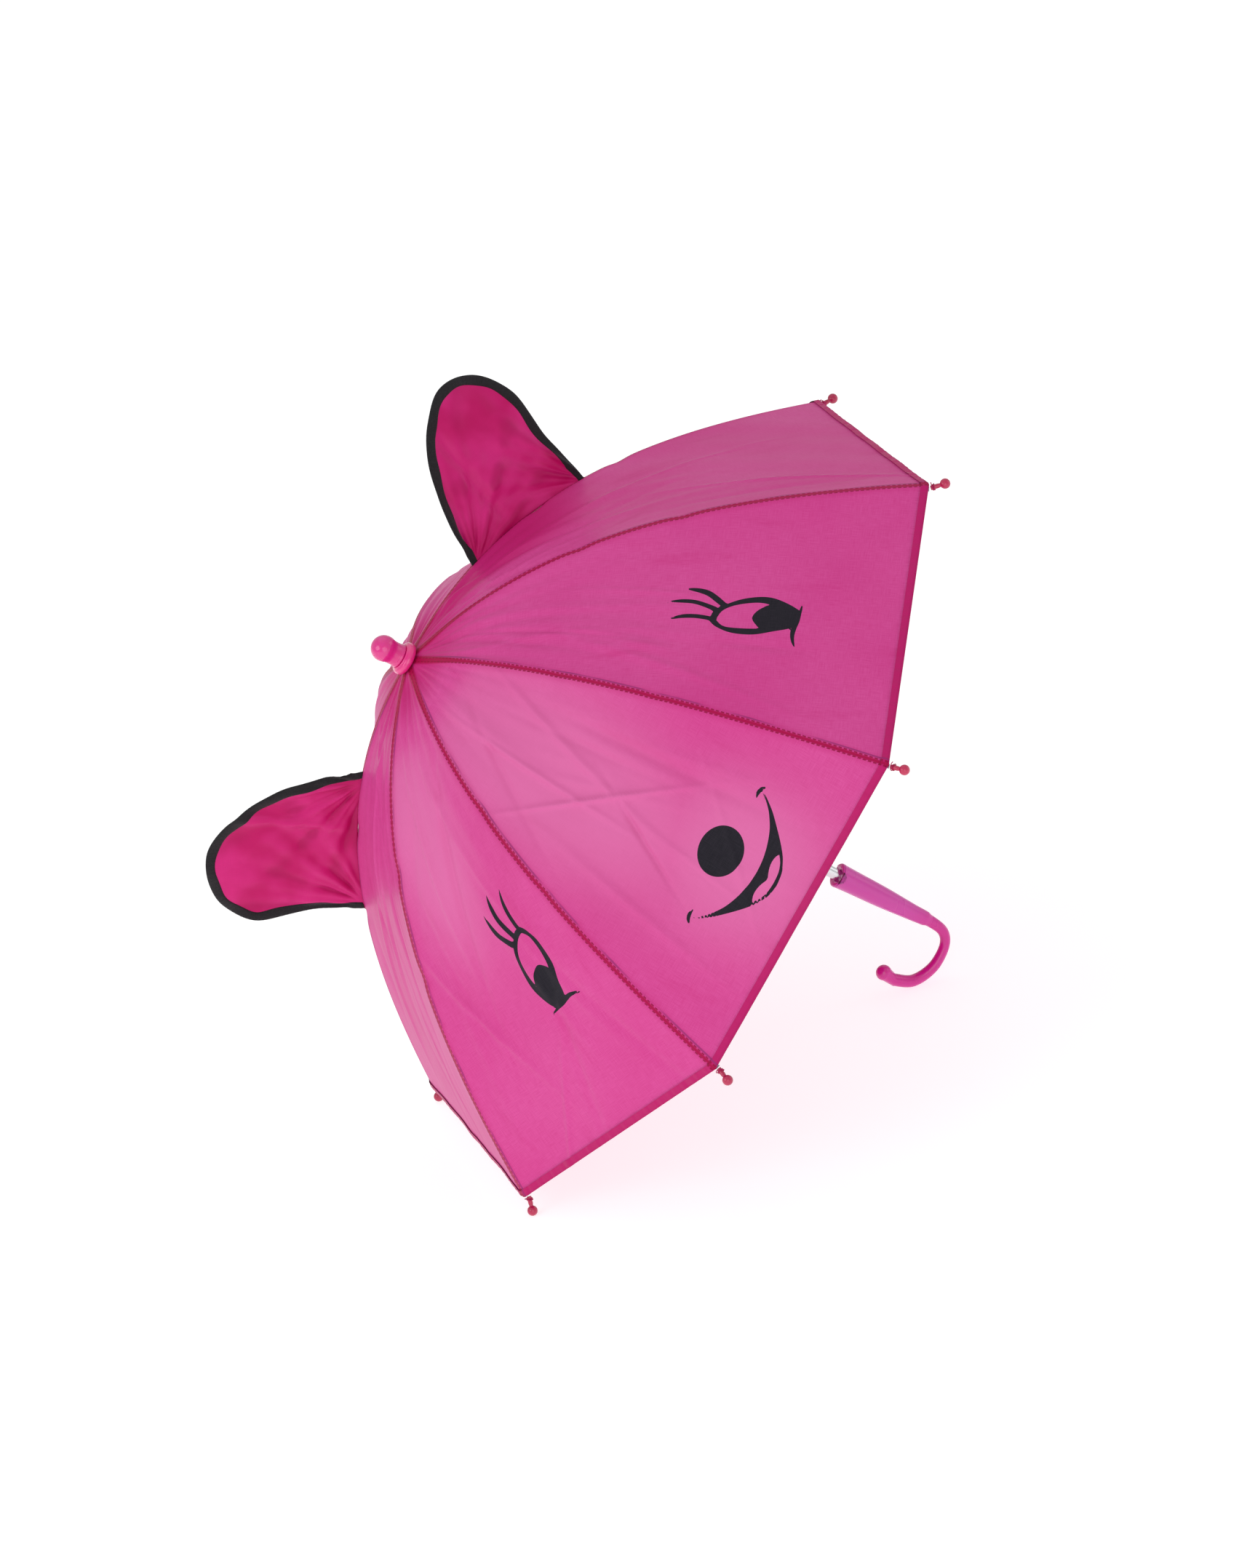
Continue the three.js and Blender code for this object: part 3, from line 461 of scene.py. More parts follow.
def canopy_material(colours):
    """Woven nylon: deeper at its threads, with painted shade in its folds, round the crown and beside the
    seams, a painted shadow beside each seam and painted sheen patches, and with the seam's line, stitches,
    hem and printed ink."""
    s = Surface(
        "printed nylon",
        Specular_IOR_Level=0.13,
        Sheen_Weight=0.03,
        Sheen_Roughness=0.4,
        Sheen_Tint=linear(colours.sheen),
    )
    threads = weave(s)
    deep = linear(colours.canopy_deep_and_shade)
    large = s.noise(s.place(), 9.0, 3.0)
    streaks = s.noise(s.stretched(s.cloth(), (60, 9, 1)), 1.0, 3.0)
    base = s.mix(s.step(large, 0.3, 0.7), linear(colours.canopy), linear(colours.canopy_light))
    base = s.mix(s.step(streaks, 0.55, 0.8, 0, 0.35), base, deep)
    base = s.mix(s.step(threads, 0.36, 0.64, 0.34, 0.0), base, deep)
    # Painted shade: the "deep" value darkens the cloth round the crown and on panel 1 below the ear.
    base = s.mix(s.step(s.value("deep"), 0.0, 1.0, 0.0, 0.85), base, deep)
    # Painted sheen: where "deep" is below 0 the cloth is paled towards a painted sheen patch.
    base = s.mix(s.step(s.value("deep"), -1.0, 0.0, 0.66, 0.0), base, linear(colours.canopy_sheen_patch))
    seam, rim, along = s.value("from_seam"), s.value("from_rim"), s.value("from_crown")
    # Painted shade: the cloth darkens towards each seam.
    base = s.mix(s.step(seam, 1.4, 7.0, 0.35, 0.0), base, deep)
    base = s.mix(s.step(rim, HEM - 0.3, HEM + 0.3, 0.45, 0.0), base, linear(colours.hem))
    base = s.mix(s.step(rim, 0.3, 3.8, 0.8, 0.0), base, linear(colours.hem))
    # Painted shadow of the rib and of the seam allowance's pleat: a darker line on one side of each seam.
    across = s.value("across")
    after = s.step(across, -1.0, 1.0)
    pleat_shadow = s.line(seam, PLEAT_SHADOW_ROW, 0.35, 0.9)
    patchy = s.step(s.noise(s.stretched(s.cloth(), (20, 26, 1)), 1.0, 2.0), 0.36, 0.56, 0.0, 0.75)
    pleat_shadow = s.maths("MULTIPLY", s.maths("MULTIPLY", pleat_shadow, patchy), after)
    base = s.mix(pleat_shadow, base, linear(colours.pleat_shadow))
    # The seam's own line of thread, widened into painted shade of the folds where the cloth is gathered under
    # the collar.
    line = s.maths("DIVIDE", seam, s.step(along, 4.0, 52.0, 3.4, 1.15))
    base = s.mix(s.step(line, 0.55, 1.25, 0.95, 0.0), base, linear(colours.thread))
    # Stitches beside the seam and along the hem: dashes of thread on a line.
    stitch = s.maths("MULTIPLY", s.dashes(along, SEAM_STITCH), s.line(seam, SEAM_ROW, 0.3, 0.6))
    hem_stitch = s.maths("MULTIPLY", s.dashes(across, HEM_STITCH), s.line(rim, HEM_ROW, 0.22, 0.5))
    thread = s.maths("MAXIMUM", stitch, hem_stitch)
    base = s.mix(s.maths("MULTIPLY", thread, 0.85), base, linear(colours.stitch))
    base = s.mix(s.step(s.value("tie"), 0.75, 0.95), base, linear(colours.thread))
    ink = s.step(s.value("print"), -0.1, 0.1, 1.0, 0.0)
    inked = s.mix(s.step(threads, 0.38, 0.62), linear(colours.ink), linear(colours.ink_worn))
    s.set("Base Color", s.mix(ink, base, inked))
    s.set("Roughness", s.mix(ink, (0.42,) * 3 + (1,), (0.6,) * 3 + (1,)))
    s.bump(
        (threads, 0.00014, 0.45),
        (s.noise(s.place(), 240.0, 3.0), 0.0002, 0.3),
        (thread, 0.0003, 0.7),
        (ink, 0.00003, 0.5),
    )
    return s.material


def ear_material(colours):
    """The ears' deeper cloth, with lighter patches, painted highlights on the ridges of its folds and painted
    shade in the valleys between them.
    """
    s = Surface(
        "ear cloth",
        Roughness=0.42,
        Specular_IOR_Level=0.16,
        Sheen_Weight=0.03,
        Sheen_Roughness=0.35,
        Sheen_Tint=linear(colours.sheen),
    )
    threads = weave(s)
    large = s.noise(s.place(), 22.0, 3.0)
    base = s.mix(s.step(large, 0.35, 0.65), linear(colours.ear), linear(colours.ear_patch_and_highlight))
    # Painted highlights on the ridges of the folds, and painted shade in their valleys.
    base = s.mix(s.step(s.value("fold"), 0.1, 1.0, 0.0, 0.5), base, linear(colours.ear_patch_and_highlight))
    base = s.mix(s.step(s.value("fold"), -1.0, -0.1, 0.5, 0.0), base, linear(colours.ear_fold_shade))
    base = s.mix(s.step(threads, 0.36, 0.64, 0.18, 0.0), base, linear(colours.hem))
    s.set("Base Color", base)
    s.bump((threads, 0.00012, 0.35), (s.noise(s.place(), 200.0, 3.0), 0.0003, 0.35))
    return s.material


def binding_material(colours):
    """Ribbed tape with a little fuzz."""
    s = Surface("binding tape", Roughness=0.72, Specular_IOR_Level=0.3, Sheen_Weight=0.15)
    ribs = s.maths("SINE", s.maths("MULTIPLY", s.value("along"), 2 * math.pi / TAPE_RIB))
    fuzz = s.noise(s.place(), 900.0, 3.0)
    base = s.mix(s.step(fuzz, 0.35, 0.75), linear(colours.binding), linear(colours.binding_worn))
    s.set("Base Color", base)
    s.bump((ribs, 0.0001, 0.4), (fuzz, 0.0002, 0.4))
    return s.material


def plastic(name, colour, deep, roughness, coat=0.3, glow=0.2, by=None, grain=0.00003):
    """Moulded plastic that lets a little light in: two tones, by a value from 0 to 1 or by a soft noise,
    and a faint flow of the melt in its finish."""
    s = Surface(
        name,
        Coat_Weight=coat,
        Coat_Roughness=0.1,
        Subsurface_Weight=glow,
        Subsurface_Radius=(1.0, 0.35, 0.6),
        Subsurface_Scale=0.003,
    )
    share = s.step(s.value(by), 0.0, 1.0) if by else s.step(s.noise(s.place(), 26.0, 1.0), 0.3, 0.7)
    s.set("Base Color", s.mix(share, linear(colour), linear(deep)))
    s.set("Roughness", s.step(s.noise(s.place(), 60.0, 2.0), 0.25, 0.75, roughness, roughness + 0.06))
    s.bump((s.noise(s.place(), 500.0, 1.0), grain, 0.15))
    return s.material


def metal(name, colour, stained, roughness):
    """Drawn steel: fine noise in the finish and a few faint stains."""
    s = Surface(name, Metallic=1.0)
    stain = s.noise(s.place(), 45.0, 4.0, 0.6)
    s.set("Base Color", s.mix(s.step(stain, 0.5, 0.85, 0.0, 0.3), linear(colour), linear(stained)))
    s.set("Roughness", s.step(s.noise(s.place(), 600.0, 3.0), 0.25, 0.75, roughness, roughness + 0.16))
    s.bump((s.noise(s.place(), 900.0, 2.0), 0.00004, 0.25))
    return s.material


# ---- What a user changes ----------------------------------------------------------------------------


def colour_property(name, description, value):
    return bpy.props.FloatVectorProperty(
        name=name, description=description, default=value, subtype="COLOR", size=3, min=0, max=255
    )


class UmbrellaColours(bpy.types.PropertyGroup):
    """Screen colours, from 0 to 255."""

    canopy: colour_property("Canopy", "Fabric of the panels", (216, 72, 150))
    canopy_light: colour_property("Canopy, light", "Lighter patches of the panels", (221, 84, 159))
    # The deep colour of the threads, also used for painted shade in folds, round the crown, on panel 1 and
    # beside the seams.
    canopy_deep_and_shade: colour_property("Canopy, deep", "Folds and threads of the panels", (194, 22, 110))
    # Painted sheen: a paler pink laid on the front panels as their satin haze of light.
    canopy_sheen_patch: colour_property("Canopy, pale", "Satin bloom of the front panels", (228, 122, 178))
    # Painted shadow of the rib and of the seam allowance's pleat, beside each seam.
    pleat_shadow: colour_property("Pleat", "Seam allowance seen through the cloth", (146, 44, 108))
    sheen: colour_property("Sheen", "Haze of light on the cloth", (255, 190, 225))
    hem: colour_property("Hem", "Doubled edge of the canopy", (186, 16, 98))
    thread: colour_property("Thread", "Seams and stitches", (172, 4, 70))
    stitch: colour_property("Stitches", "Dashes of thread beside the seams", (150, 2, 54))
    ink: colour_property("Ink", "Printed face", (30, 28, 36))
    ink_worn: colour_property("Ink, worn", "Printed face where the threads show", (40, 36, 45))
    ear: colour_property("Ears", "Fabric of the ears", (190, 12, 98))
    # Painted shade in the valleys of the ears' folds.
    ear_fold_shade: colour_property("Ears, deep", "Valleys of the ears' folds", (160, 4, 76))
    # Lighter patches of the ears' own cloth, also used for painted highlights on the ridges of the folds.
    ear_patch_and_highlight: colour_property("Ears, light", "Lighter patches of the ears", (212, 40, 126))
    binding: colour_property("Binding", "Tape round the ears", (15, 13, 17))
    binding_worn: colour_property("Binding, worn", "Raised threads of the tape", (28, 26, 30))
    handle: colour_property("Grip", "Handle at its top", (206, 60, 166))
    hook: colour_property("Hook", "Handle at its hook", (208, 14, 144))
    ferrule: colour_property("Ferrule", "Ball on top", (240, 40, 136))
    collar: colour_property("Collar", "Ring under the ball", (226, 40, 140))
    tips: colour_property("Tips", "Balls at the ribs' ends", (196, 34, 84))
    steel: colour_property("Steel", "Tube, catches and rivets", (226, 227, 230))
    wire: colour_property("Ribs", "Ribs and stretchers", (150, 151, 157))
    nylon: colour_property("Nylon", "Notch and runner", (232, 230, 234))


class UmbrellaSizes(bpy.types.PropertyGroup):
    """Sizes that shape the cloth. The rest follows the CAD part."""

    sag: bpy.props.FloatProperty(
        name="Sag", description="How far the middle of a panel hangs in", default=0.0018, unit="LENGTH"
    )
    puff: bpy.props.FloatProperty(
        name="Puff", description="How far the cloth rises beside a seam", default=0.0008, unit="LENGTH"
    )
    crease: bpy.props.FloatProperty(
        name="Creases", description="Height of the creases", default=0.0016, unit="LENGTH"
    )
    rows: bpy.props.IntProperty(
        name="Rows", description="Rows of points from crown to rim", default=230, min=40, max=400
    )
    columns: bpy.props.IntProperty(
        name="Columns", description="Points across half a panel", default=70, min=10, max=120
    )


# ---- The printed face -------------------------------------------------------------------------------

# Shapes on a flat panel, in millimetres: x from the panel's middle towards the next rib, y from the crown.
EYE_EDGE = [
    (5.5, -27.8), (-2.3, -26.3), (-8.5, -18.3), (-13.5, -6.4), (-15.4, 7), (-12.9, 17.6), (-6.3, 29.2),
    (0, 29.8), (7.5, 26.6), (11.6, 14.4), (15, 1.3), (14.4, -12.5), (10, -23), (5.5, -27.8),
]  # fmt: skip
EYE_WHITE = [
    (4.2, -23.8), (-2.9, -20.5), (-7.8, -12.4), (-10.4, 0.9), (-9.6, 10.3), (-9.6, 10.3), (-4.7, 3.1),
    (1.6, -0.4), (7.2, 2.9), (9.9, 5.6), (9.9, 5.6), (10.4, -6.2), (9.3, -18), (4.2, -23.8),
]  # fmt: skip
EYE_STROKES = [
    [(-20.2, -47.6, 0.1), (-19.5, -42, 1.2), (-18.2, -35.5, 1.9), (-15.6, -29.6, 2.1), (-8.2, -20.5, 2)],
    [(-8.3, -58.4, 0.1), (-9.6, -54, 0.9), (-10.1, -47.5, 1.5), (-9.6, -40, 1.6), (-7.4, -32.8, 1.7),
     (-4, -25, 1.8)],
    [(5.4, -56.4, 0.1), (3.2, -51.2, 1), (2, -45.6, 1.5), (1.8, -38.3, 1.6), (2.8, -30.5, 1.6),
     (4, -26, 1.6)],
    [(-14.6, 33.4, 0.1), (-9.6, 31, 0.7), (-4, 30, 1.2), (2, 29.2, 1.6), (8, 27.8, 1.7), (13.8, 27.4, 1.4),
     (19.1, 28.5, 0.9), (23.5, 30.5, 0.1)],
]  # fmt: skip
EYES = {2: (5.4, 245.0, 1), 4: (-28.7, 226.0, -1)}  # panel: middle of the eye, and which way it faces
PRINTED = (2, 3, 4)  # the panels with ink
NOSE = (-9.8, 279.0, 17.0, 15.0)  # middle, half width and half height
MOUTH_MIDDLE = -9.7
MOUTH_LOW = [(0, 321.9), (8, 320.7), (13.5, 318.2), (18.5, 315.2), (25, 309.7), (32.5, 302.4), (40.5, 293.8),
             (47, 284.6)]  # fmt: skip
MOUTH_HIGH = [(46.3, 284), (41, 290.4), (35.5, 295.1), (28.5, 299.6), (19, 303.3), (9.5, 305.5), (0, 306.3)]
TONGUE = [(0, 319.3), (7.2, 318.6), (13.4, 316.3), (17.6, 313.1), (17.6, 313.1), (14.4, 311.8), (10.1, 311.5),
          (5.4, 312.5), (0, 314.8), (0, 314.8)]  # fmt: skip
MOUTH_END = [(50.9, 284.7, 0.3), (48.3, 282.3, 1.1), (44.8, 281.4, 1.2), (41.2, 282, 0.3)]
NO_INK = 50.0  # distance given where there is no print near


def mirrored(points):
    """The same points and their mirror images, on round the shape."""
    return points + [(-x, y) for x, y in reversed(points)]


def off_line(x, y, x0, y0, x1, y1):
    """Distance to a straight line between two places, and how far along it the nearest place is, from 0
    to 1."""
    dx, dy = x1 - x0, y1 - y0
    t = np.clip(((x - x0) * dx + (y - y0) * dy) / max(dx * dx + dy * dy, 1e-12), 0, 1)
    return np.hypot(x - x0 - t * dx, y - y0 - t * dy), t


def inside_out(x, y, outline):
    """Signed distance to a smooth closed outline, negative inside: the nearest of its straight pieces,
    and the sign by how often a line out crosses it."""
    edge = smooth_path(outline, np.linspace(0, 1, 6 * len(outline)))
    ax, ay = edge.T
    bx, by = np.roll(ax, -1), np.roll(ay, -1)
    best, inside = np.full(x.shape, 1e9), np.zeros(x.shape, bool)
    for x0, y0, x1, y1 in zip(ax, ay, bx, by):
        best = np.minimum(best, off_line(x, y, x0, y0, x1, y1)[0])
        if y1 != y0:
            inside ^= ((y0 > y) != (y1 > y)) & (x < x0 + (y - y0) / (y1 - y0) * (x1 - x0))
    return np.where(inside, -best, best)


def off_stroke(x, y, stroke):
    """Distance to the edge of a stroke whose half width changes from point to point."""
    line = smooth_path(stroke, np.linspace(0, 1, 5 * len(stroke)))
    best = np.full(x.shape, 1e9)
    for (x0, y0, r0), (x1, y1, r1) in zip(line, line[1:]):
        away, t = off_line(x, y, x0, y0, x1, y1)
        best = np.minimum(best, away - r0 - t * (r1 - r0))
    return best


def print_distance(panel, x, y):
    """Distance in millimetres to the edge of the print on a panel, negative on the print."""
    best = np.full(x.shape, NO_INK)
    if panel in EYES:
        middle, height, way = EYES[panel]
        ex, ey = (x - middle) * way, y - height
        best = np.maximum(inside_out(ex, ey, EYE_EDGE), -inside_out(ex, ey, EYE_WHITE))
        for stroke in EYE_STROKES:
            best = np.minimum(best, off_stroke(ex, ey, stroke))
    if panel == 3:
        nx, ny, wide, high = NOSE
        nose = (np.hypot((x - nx) / wide, (y - ny) / high) - 1) * high
        mx = x - MOUTH_MIDDLE
        mouth = inside_out(mx, y, mirrored(MOUTH_LOW[::-1]) + mirrored(MOUTH_HIGH)[::-1])
        mouth = np.maximum(mouth, -inside_out(mx, y, mirrored(TONGUE[::-1])))
        ends = np.minimum(off_stroke(mx, y, MOUTH_END), off_stroke(-mx, y, MOUTH_END))
        best = np.minimum(np.minimum(nose, mouth), ends)
    return np.clip(best, -NO_INK, NO_INK)


# ---- The canopy -------------------------------------------------------------------------------------

# Creases of the panels that show most: middle across, as a share of the half width, middle from the crown,
# slope, width, length and height, in millimetres.
PLAIN_CREASES = {
    1: [(-0.5, 60, 0.1, 3.5, 60, 1.2), (-0.1, 90, 0.3, 4.5, 70, -1.0), (0.4, 150, 0.2, 5, 90, 0.6)],
    2: [(-0.1, 120, 0.05, 4, 90, 0.6), (0.5, 60, 0.3, 3, 50, -0.9), (0.72, 180, 0.38, 4, 80, 0.8)],
    3: [(0.25, 130, 0.0, 2.2, 70, 1.3), (0.05, 190, -0.75, 2.4, 46, 1.4), (-0.3, 150, 0.22, 3, 90, 1.1),
        (-0.55, 210, -0.1, 4, 80, -1.1), (0.15, 232, 0.5, 2.2, 34, -1.2), (0.5, 110, 0.5, 3, 60, -0.8),
        (-0.1, 290, 0.9, 3.4, 40, 0.8), (0.62, 250, 0.15, 3.5, 60, 0.9)],
    4: [(0.45, 110, 0.1, 2.6, 80, 1.3), (0.1, 150, 0.3, 3.2, 90, -1.1), (-0.35, 120, -0.2, 3, 70, 1.0),
        (0.6, 230, -0.35, 3.4, 60, 1.1), (-0.15, 280, 0.4, 4, 60, -0.9), (0.3, 320, 0.9, 3, 40, 0.8)],
    5: [(0.2, 90, 0.15, 3, 80, 1.1), (-0.4, 150, -0.2, 3.6, 90, -1.0), (0.5, 220, 0.2, 4, 70, 0.9)],
}  # fmt: skip
# Painted sheen patches of the cloth: panel, its middle across and from the crown, and its width and length.
SHEEN_PATCHES = ((3, 6, 160, 60, 150), (3, -10, 290, 60, 70), (4, 14, 120, 40, 90))


def soft_ridge(x, y, middle, at, slope, wide, long):
    """A straight ridge of height 1 through a place, with a round section, which fades at its ends."""
    dx = (x - middle) - slope * (y - at)
    return np.exp(-((dx / wide) ** 2) - ((y - at) / long) ** 2)


def creases(panel, x, y, half):
    """Soft straight creases of a panel. Some are listed, the places of the others come from a fixed seed,
    and pleats run out from the crown."""
    draw = np.random.default_rng(40 + panel)
    height = np.zeros(x.shape)
    for share, at, slope, wide, long, size in PLAIN_CREASES.get(panel, []):
        height += size * soft_ridge(x, y, share * math.tan(HALF_STEP) * at * 0.8, at, slope, wide, long)
    for _ in range(9):
        share = draw.uniform(-0.85, 0.85)
        at = draw.uniform(60, 300)
        slope = share * 0.33 + draw.normal(0, 0.16)
        wide, long = draw.uniform(1.8, 5.5), draw.uniform(24, 75)
        size = draw.choice([-1, 1]) * draw.uniform(0.3, 0.8)
        middle = share * np.interp(at, [0, PANEL_LENGTH], [5, 112])
        height += size * soft_ridge(x, y, middle, at, slope, wide, long)
    for share in (-0.75, -0.42, -0.1, 0.22, 0.5, 0.8):
        share = share + draw.normal(0, 0.05)
        fade = np.exp(-np.maximum(y, 0) / 70.0) * smooth_step(-8, 14, y)
        height -= draw.uniform(0.6, 1.3) * fade * np.exp(-(((x - share * half) / (0.08 * half + 0.7)) ** 2))
    return height


def painted_shade_and_sheen(panel, x, y, half):
    """Painted shade and sheen of the cloth: up to 1 for painted shade round the crown and on panel 1 below
    the ear, and down to -1 in a painted sheen patch."""
    deep = 0.7 * smooth_step(70, 4, y)
    if panel == 1:
        deep = np.maximum(deep, smooth_step(190, 90, y) * smooth_step(0.5, -0.35, x / np.maximum(half, 1)))
    sheen_patch = 0.0
    for on_panel, x0, y0, wide, long in SHEEN_PATCHES:
        if panel == on_panel:
            sheen_patch = np.maximum(sheen_patch, np.exp(-(((x - x0) / wide) ** 2) - ((y - y0) / long) ** 2))
    return deep - sheen_patch * smooth_step(10, 60, y)


def away(seam, reach):
    """0 on a seam, and 1 a good reach away from it."""
    return 1 - np.exp(-((seam / reach) ** 2))


def at_ties(share, reach):
    """1 at each tie of a rib, and 0 a good reach away from it."""
    return sum(np.exp(-(((share - tie) / reach) ** 2)) for tie in TIES)


def panel_points(sizes, panel, part, share):
    """A point of the cloth of a panel, in metres, with its flat place. The cloth is straight from rib to
    rib, and is moved along its normal by a sag that is greatest in the middle, a rise beside each seam,
    creases and the step of the hem, all of them nothing at the seams. Near a seam it is drawn in at the
    ties."""
    ridge, ridge_way = canopy_curve(share)
    half = ridge[..., 0] * math.sin(HALF_STEP)
    x = part * half
    y = from_crown(share)
    from_rim = PANEL_LENGTH - y
    seam = np.maximum(half - np.abs(x), 0)
    room = np.minimum(half / 24, 1)
    beside = away(seam, 1.3) * room
    height = sizes.puff * 1000 * beside * np.exp(-seam / 9)
    rise = np.clip(np.sin(np.pi * np.clip(share, 0, 1)), 0, 1)
    height -= sizes.sag * 1000 * (1 - np.minimum(part**2, 1)) * rise
    height += sizes.crease * 1000 * creases(panel, x, y, half) * away(seam, 5)
    waves = np.sin(x * 0.061 + panel * 1.7 + 0.017 * y) * np.sin(y * 0.043 + panel)
    waves += 0.5 * np.sin(x * 0.13 - y * 0.09)
    height += 0.32 * waves * room * away(seam, 9)
    puckers = np.sin(x * 2 * np.pi / 8.5 + panel) + 0.6 * np.sin(x * 2 * np.pi / 5.3 + 2 * panel)
    height += 0.12 * puckers * np.exp(-from_rim / 5) * away(seam, 4)
    height += 0.35 * smooth_step(HEM + 0.35, HEM - 0.35, from_rim) * beside
    middle = ridge * TO_MIDDLE
    step = 1e-4
    ahead = (canopy_curve(share + step)[0] - canopy_curve(share - step)[0]) * TO_MIDDLE
    ahead = ahead / np.linalg.norm(ahead, axis=-1, keepdims=True)
    out = middle[..., 0] - ahead[..., 1] * height
    up = middle[..., 1] + ahead[..., 0] * height
    points = placed(out, -x, up, panel_out(panel))
    draw_in = DRAWN_IN * at_ties(share, TIE_REACH) * np.exp(-seam / 12)
    rib = np.where((part > 0)[..., None], rib_out(panel + 1), rib_out(panel))
    inwards = ridge_way[..., 1:] * rib - ridge_way[..., :1] * UP
    points = points + inwards * draw_in[..., None] / 1000
    tie = at_ties(share, TIE_LENGTH) * np.exp(-((seam / 1.6) ** 2))
    return points, x, y, seam, from_rim, tie, painted_shade_and_sheen(panel, x, y, half)


def half_columns(count, fine):
    """Places across a half panel from its seam, 0, to its middle, 1, closer together beside the seam."""
    t = np.linspace(0, 1, count if fine else count // 2)
    return t * (0.55 + 0.45 * t)


def canopy_rows(count):
    """Shares from the crown to the rim, closer together at the hem."""
    t = np.linspace(0, 1, count)
    t = np.concatenate([t[t < HEM_SHARE], np.linspace(HEM_SHARE, 1, HEM_ROWS)])
    return CANOPY_START + (1 - CANOPY_START) * t


def gore(sizes, n, material):
    """One gore: the half panels on both sides of rib n, with the hem turned under. Its normals are those
    of the whole cloth, so that it runs on into the next gore without a line."""
    other = panel_before(n)
    shares = canopy_rows(sizes.rows)
    left = half_columns(sizes.columns, n in PRINTED)
    right = half_columns(sizes.columns, other in PRINTED)
    across = np.concatenate([-left[:0:-1], [0], right[1:]])
    part = np.where(across <= 0, -1 - across, 1 - across)
    grid_share, grid_part = np.meshgrid(shares, part, indexing="ij")
    on_left = np.broadcast_to(across <= 0, grid_share.shape)

    def cloth(share, part):
        one = panel_points(sizes, n, np.where(on_left, part, -1.0), share)
        two = panel_points(sizes, other, np.where(on_left, 1.0, part), share)
        return [np.where(on_left[..., None] if a.ndim == 3 else on_left, a, b) for a, b in zip(one, two)]

    points, *measures = cloth(grid_share, grid_part)
    step = 0.002
    ahead = cloth(grid_share + step, grid_part)[0] - cloth(grid_share - step, grid_part)[0]
    inner = np.where(on_left, 1.0, -1.0)
    aside = (cloth(grid_share, grid_part + inner * step)[0] - points) * inner[..., None]
    normals = np.cross(ahead, aside)
    normals /= np.linalg.norm(normals, axis=-1, keepdims=True)
    facing = np.einsum("ijk,k->ij", normals, UP) + np.einsum("ijk,k->ij", normals, rib_out(n))
    normals *= np.sign(facing)[..., None]
    ridge = int(np.flatnonzero(across == 0)[0])
    mean = normals[:, ridge - 1] + normals[:, ridge + 1]
    normals[:, ridge] = mean / np.linalg.norm(mean, axis=-1, keepdims=True)
    # The hem's underside runs back from the rim, below the cloth.
    for share, depth in HEM_UNDER:
        row, *more = cloth(np.full_like(grid_share, share), grid_part)
        points = np.concatenate([points, row[-1:] - normals[-1:] * depth / 1000])
        normals = np.concatenate([normals, normals[-1:] if share < 1 else -normals[-1:]])
        measures = [np.concatenate([a, b[-1:]]) for a, b in zip(measures, more)]
    x, y, seam, from_rim, tie, deep = measures
    from_rim[len(shares) :] = tie[len(shares) :] = 0
    left_side = np.broadcast_to(across <= 0, x.shape)
    ink = np.full(x.shape, NO_INK)
    for panel, mask in ((n, left_side), (other, ~left_side)):
        if panel in PRINTED:
            ink = np.where(mask, print_distance(panel, x, y), ink)
    ink[len(shares) :] = NO_INK
    values = {"from_seam": seam, "from_crown": y, "from_rim": from_rim, "across": x}
    values |= {"print": ink, "tie": tie, "deep": deep}
    faces = grid_quads(*x.shape)[:, ::-1]
    flat = np.stack([x, y], axis=-1) / 1000
    piece = mesh_object(f"canopy_{n}", points, faces, material, values=values, uv=flat, normals=normals)
    finish_piece(piece, f"rib_{n}", "canopy_fabric", f"canopy_gore_{n}")
    fold_up(piece)
    return piece


class UMBRELLA_OT_canopy(bpy.types.Operator):
    """Builds the eight gores of the canopy with the printed face"""

    bl_idname = "umbrella.canopy"
    bl_label = "Canopy"

    def execute(self, context):
        scene = context.scene
        material = canopy_material(scene.umbrella_colours)
        for n in range(1, RIBS + 1):
            gore(scene.umbrella_sizes, n, material)
        return {"FINISHED"}


# ---- The ears ---------------------------------------------------------------------------------------

# Each outline runs from the end near the crown to the end near the rim: along the base, and out from it.
EARS = {
    "upper": {
        "rib": 1,
        "base": (0.17, 0.475),
        "outline": [(-52.5, 0), (-48.5, 35), (-35, 76), (-6, 107), (24, 103), (43, 78), (46.5, 40), (52, 0)],
    },
    "lower": {
        "rib": 6,
        "base": (0.215, 0.545),
        "outline": [(-58, 0), (-45, 51), (-24, 84), (8, 106), (45, 100), (65, 75), (58, 36), (57.5, 0)],
    },
}
TAPE_WIDTH = 6.2
TAPE_THICK = 2.2
TAPE_RIB = 0.9


def ear_shape(name):
    """The ear's sizes, and its base line in its rib's plane: middle, direction along it and direction
    out."""
    ear = EARS[name]
    ends, _ = canopy_curve(np.array(ear["base"]))
    along = unit(ends[1] - ends[0])
    return ear, ends.mean(axis=0), along, np.array([-along[1], along[0]])


def ear_folds(x, y):
    """Folds that fan out from both ends of the ear's base, and one that runs up from the base's middle."""
    fan = 1.6 * np.exp(-(((x + 12 + 0.1 * y) / 4.5) ** 2)) * smooth_step(4, 24, y) * smooth_step(98, 66, y)
    for end, count, phase, reach in ((-50.0, 14, 0.4, 85), (54.0, 13, 1.9, 80)):
        angle = np.arctan2(np.maximum(y, 0) + 3, (x - end) * -np.sign(end))
        away = np.hypot(x - end, y)
        fold = np.sin(angle * count + phase + 0.014 * away) + 0.45 * np.sin(angle * 2.3 * count + 1.3)
        fan = fan + fold * np.exp(-away / reach) * smooth_step(2, 20, away)
    return fan


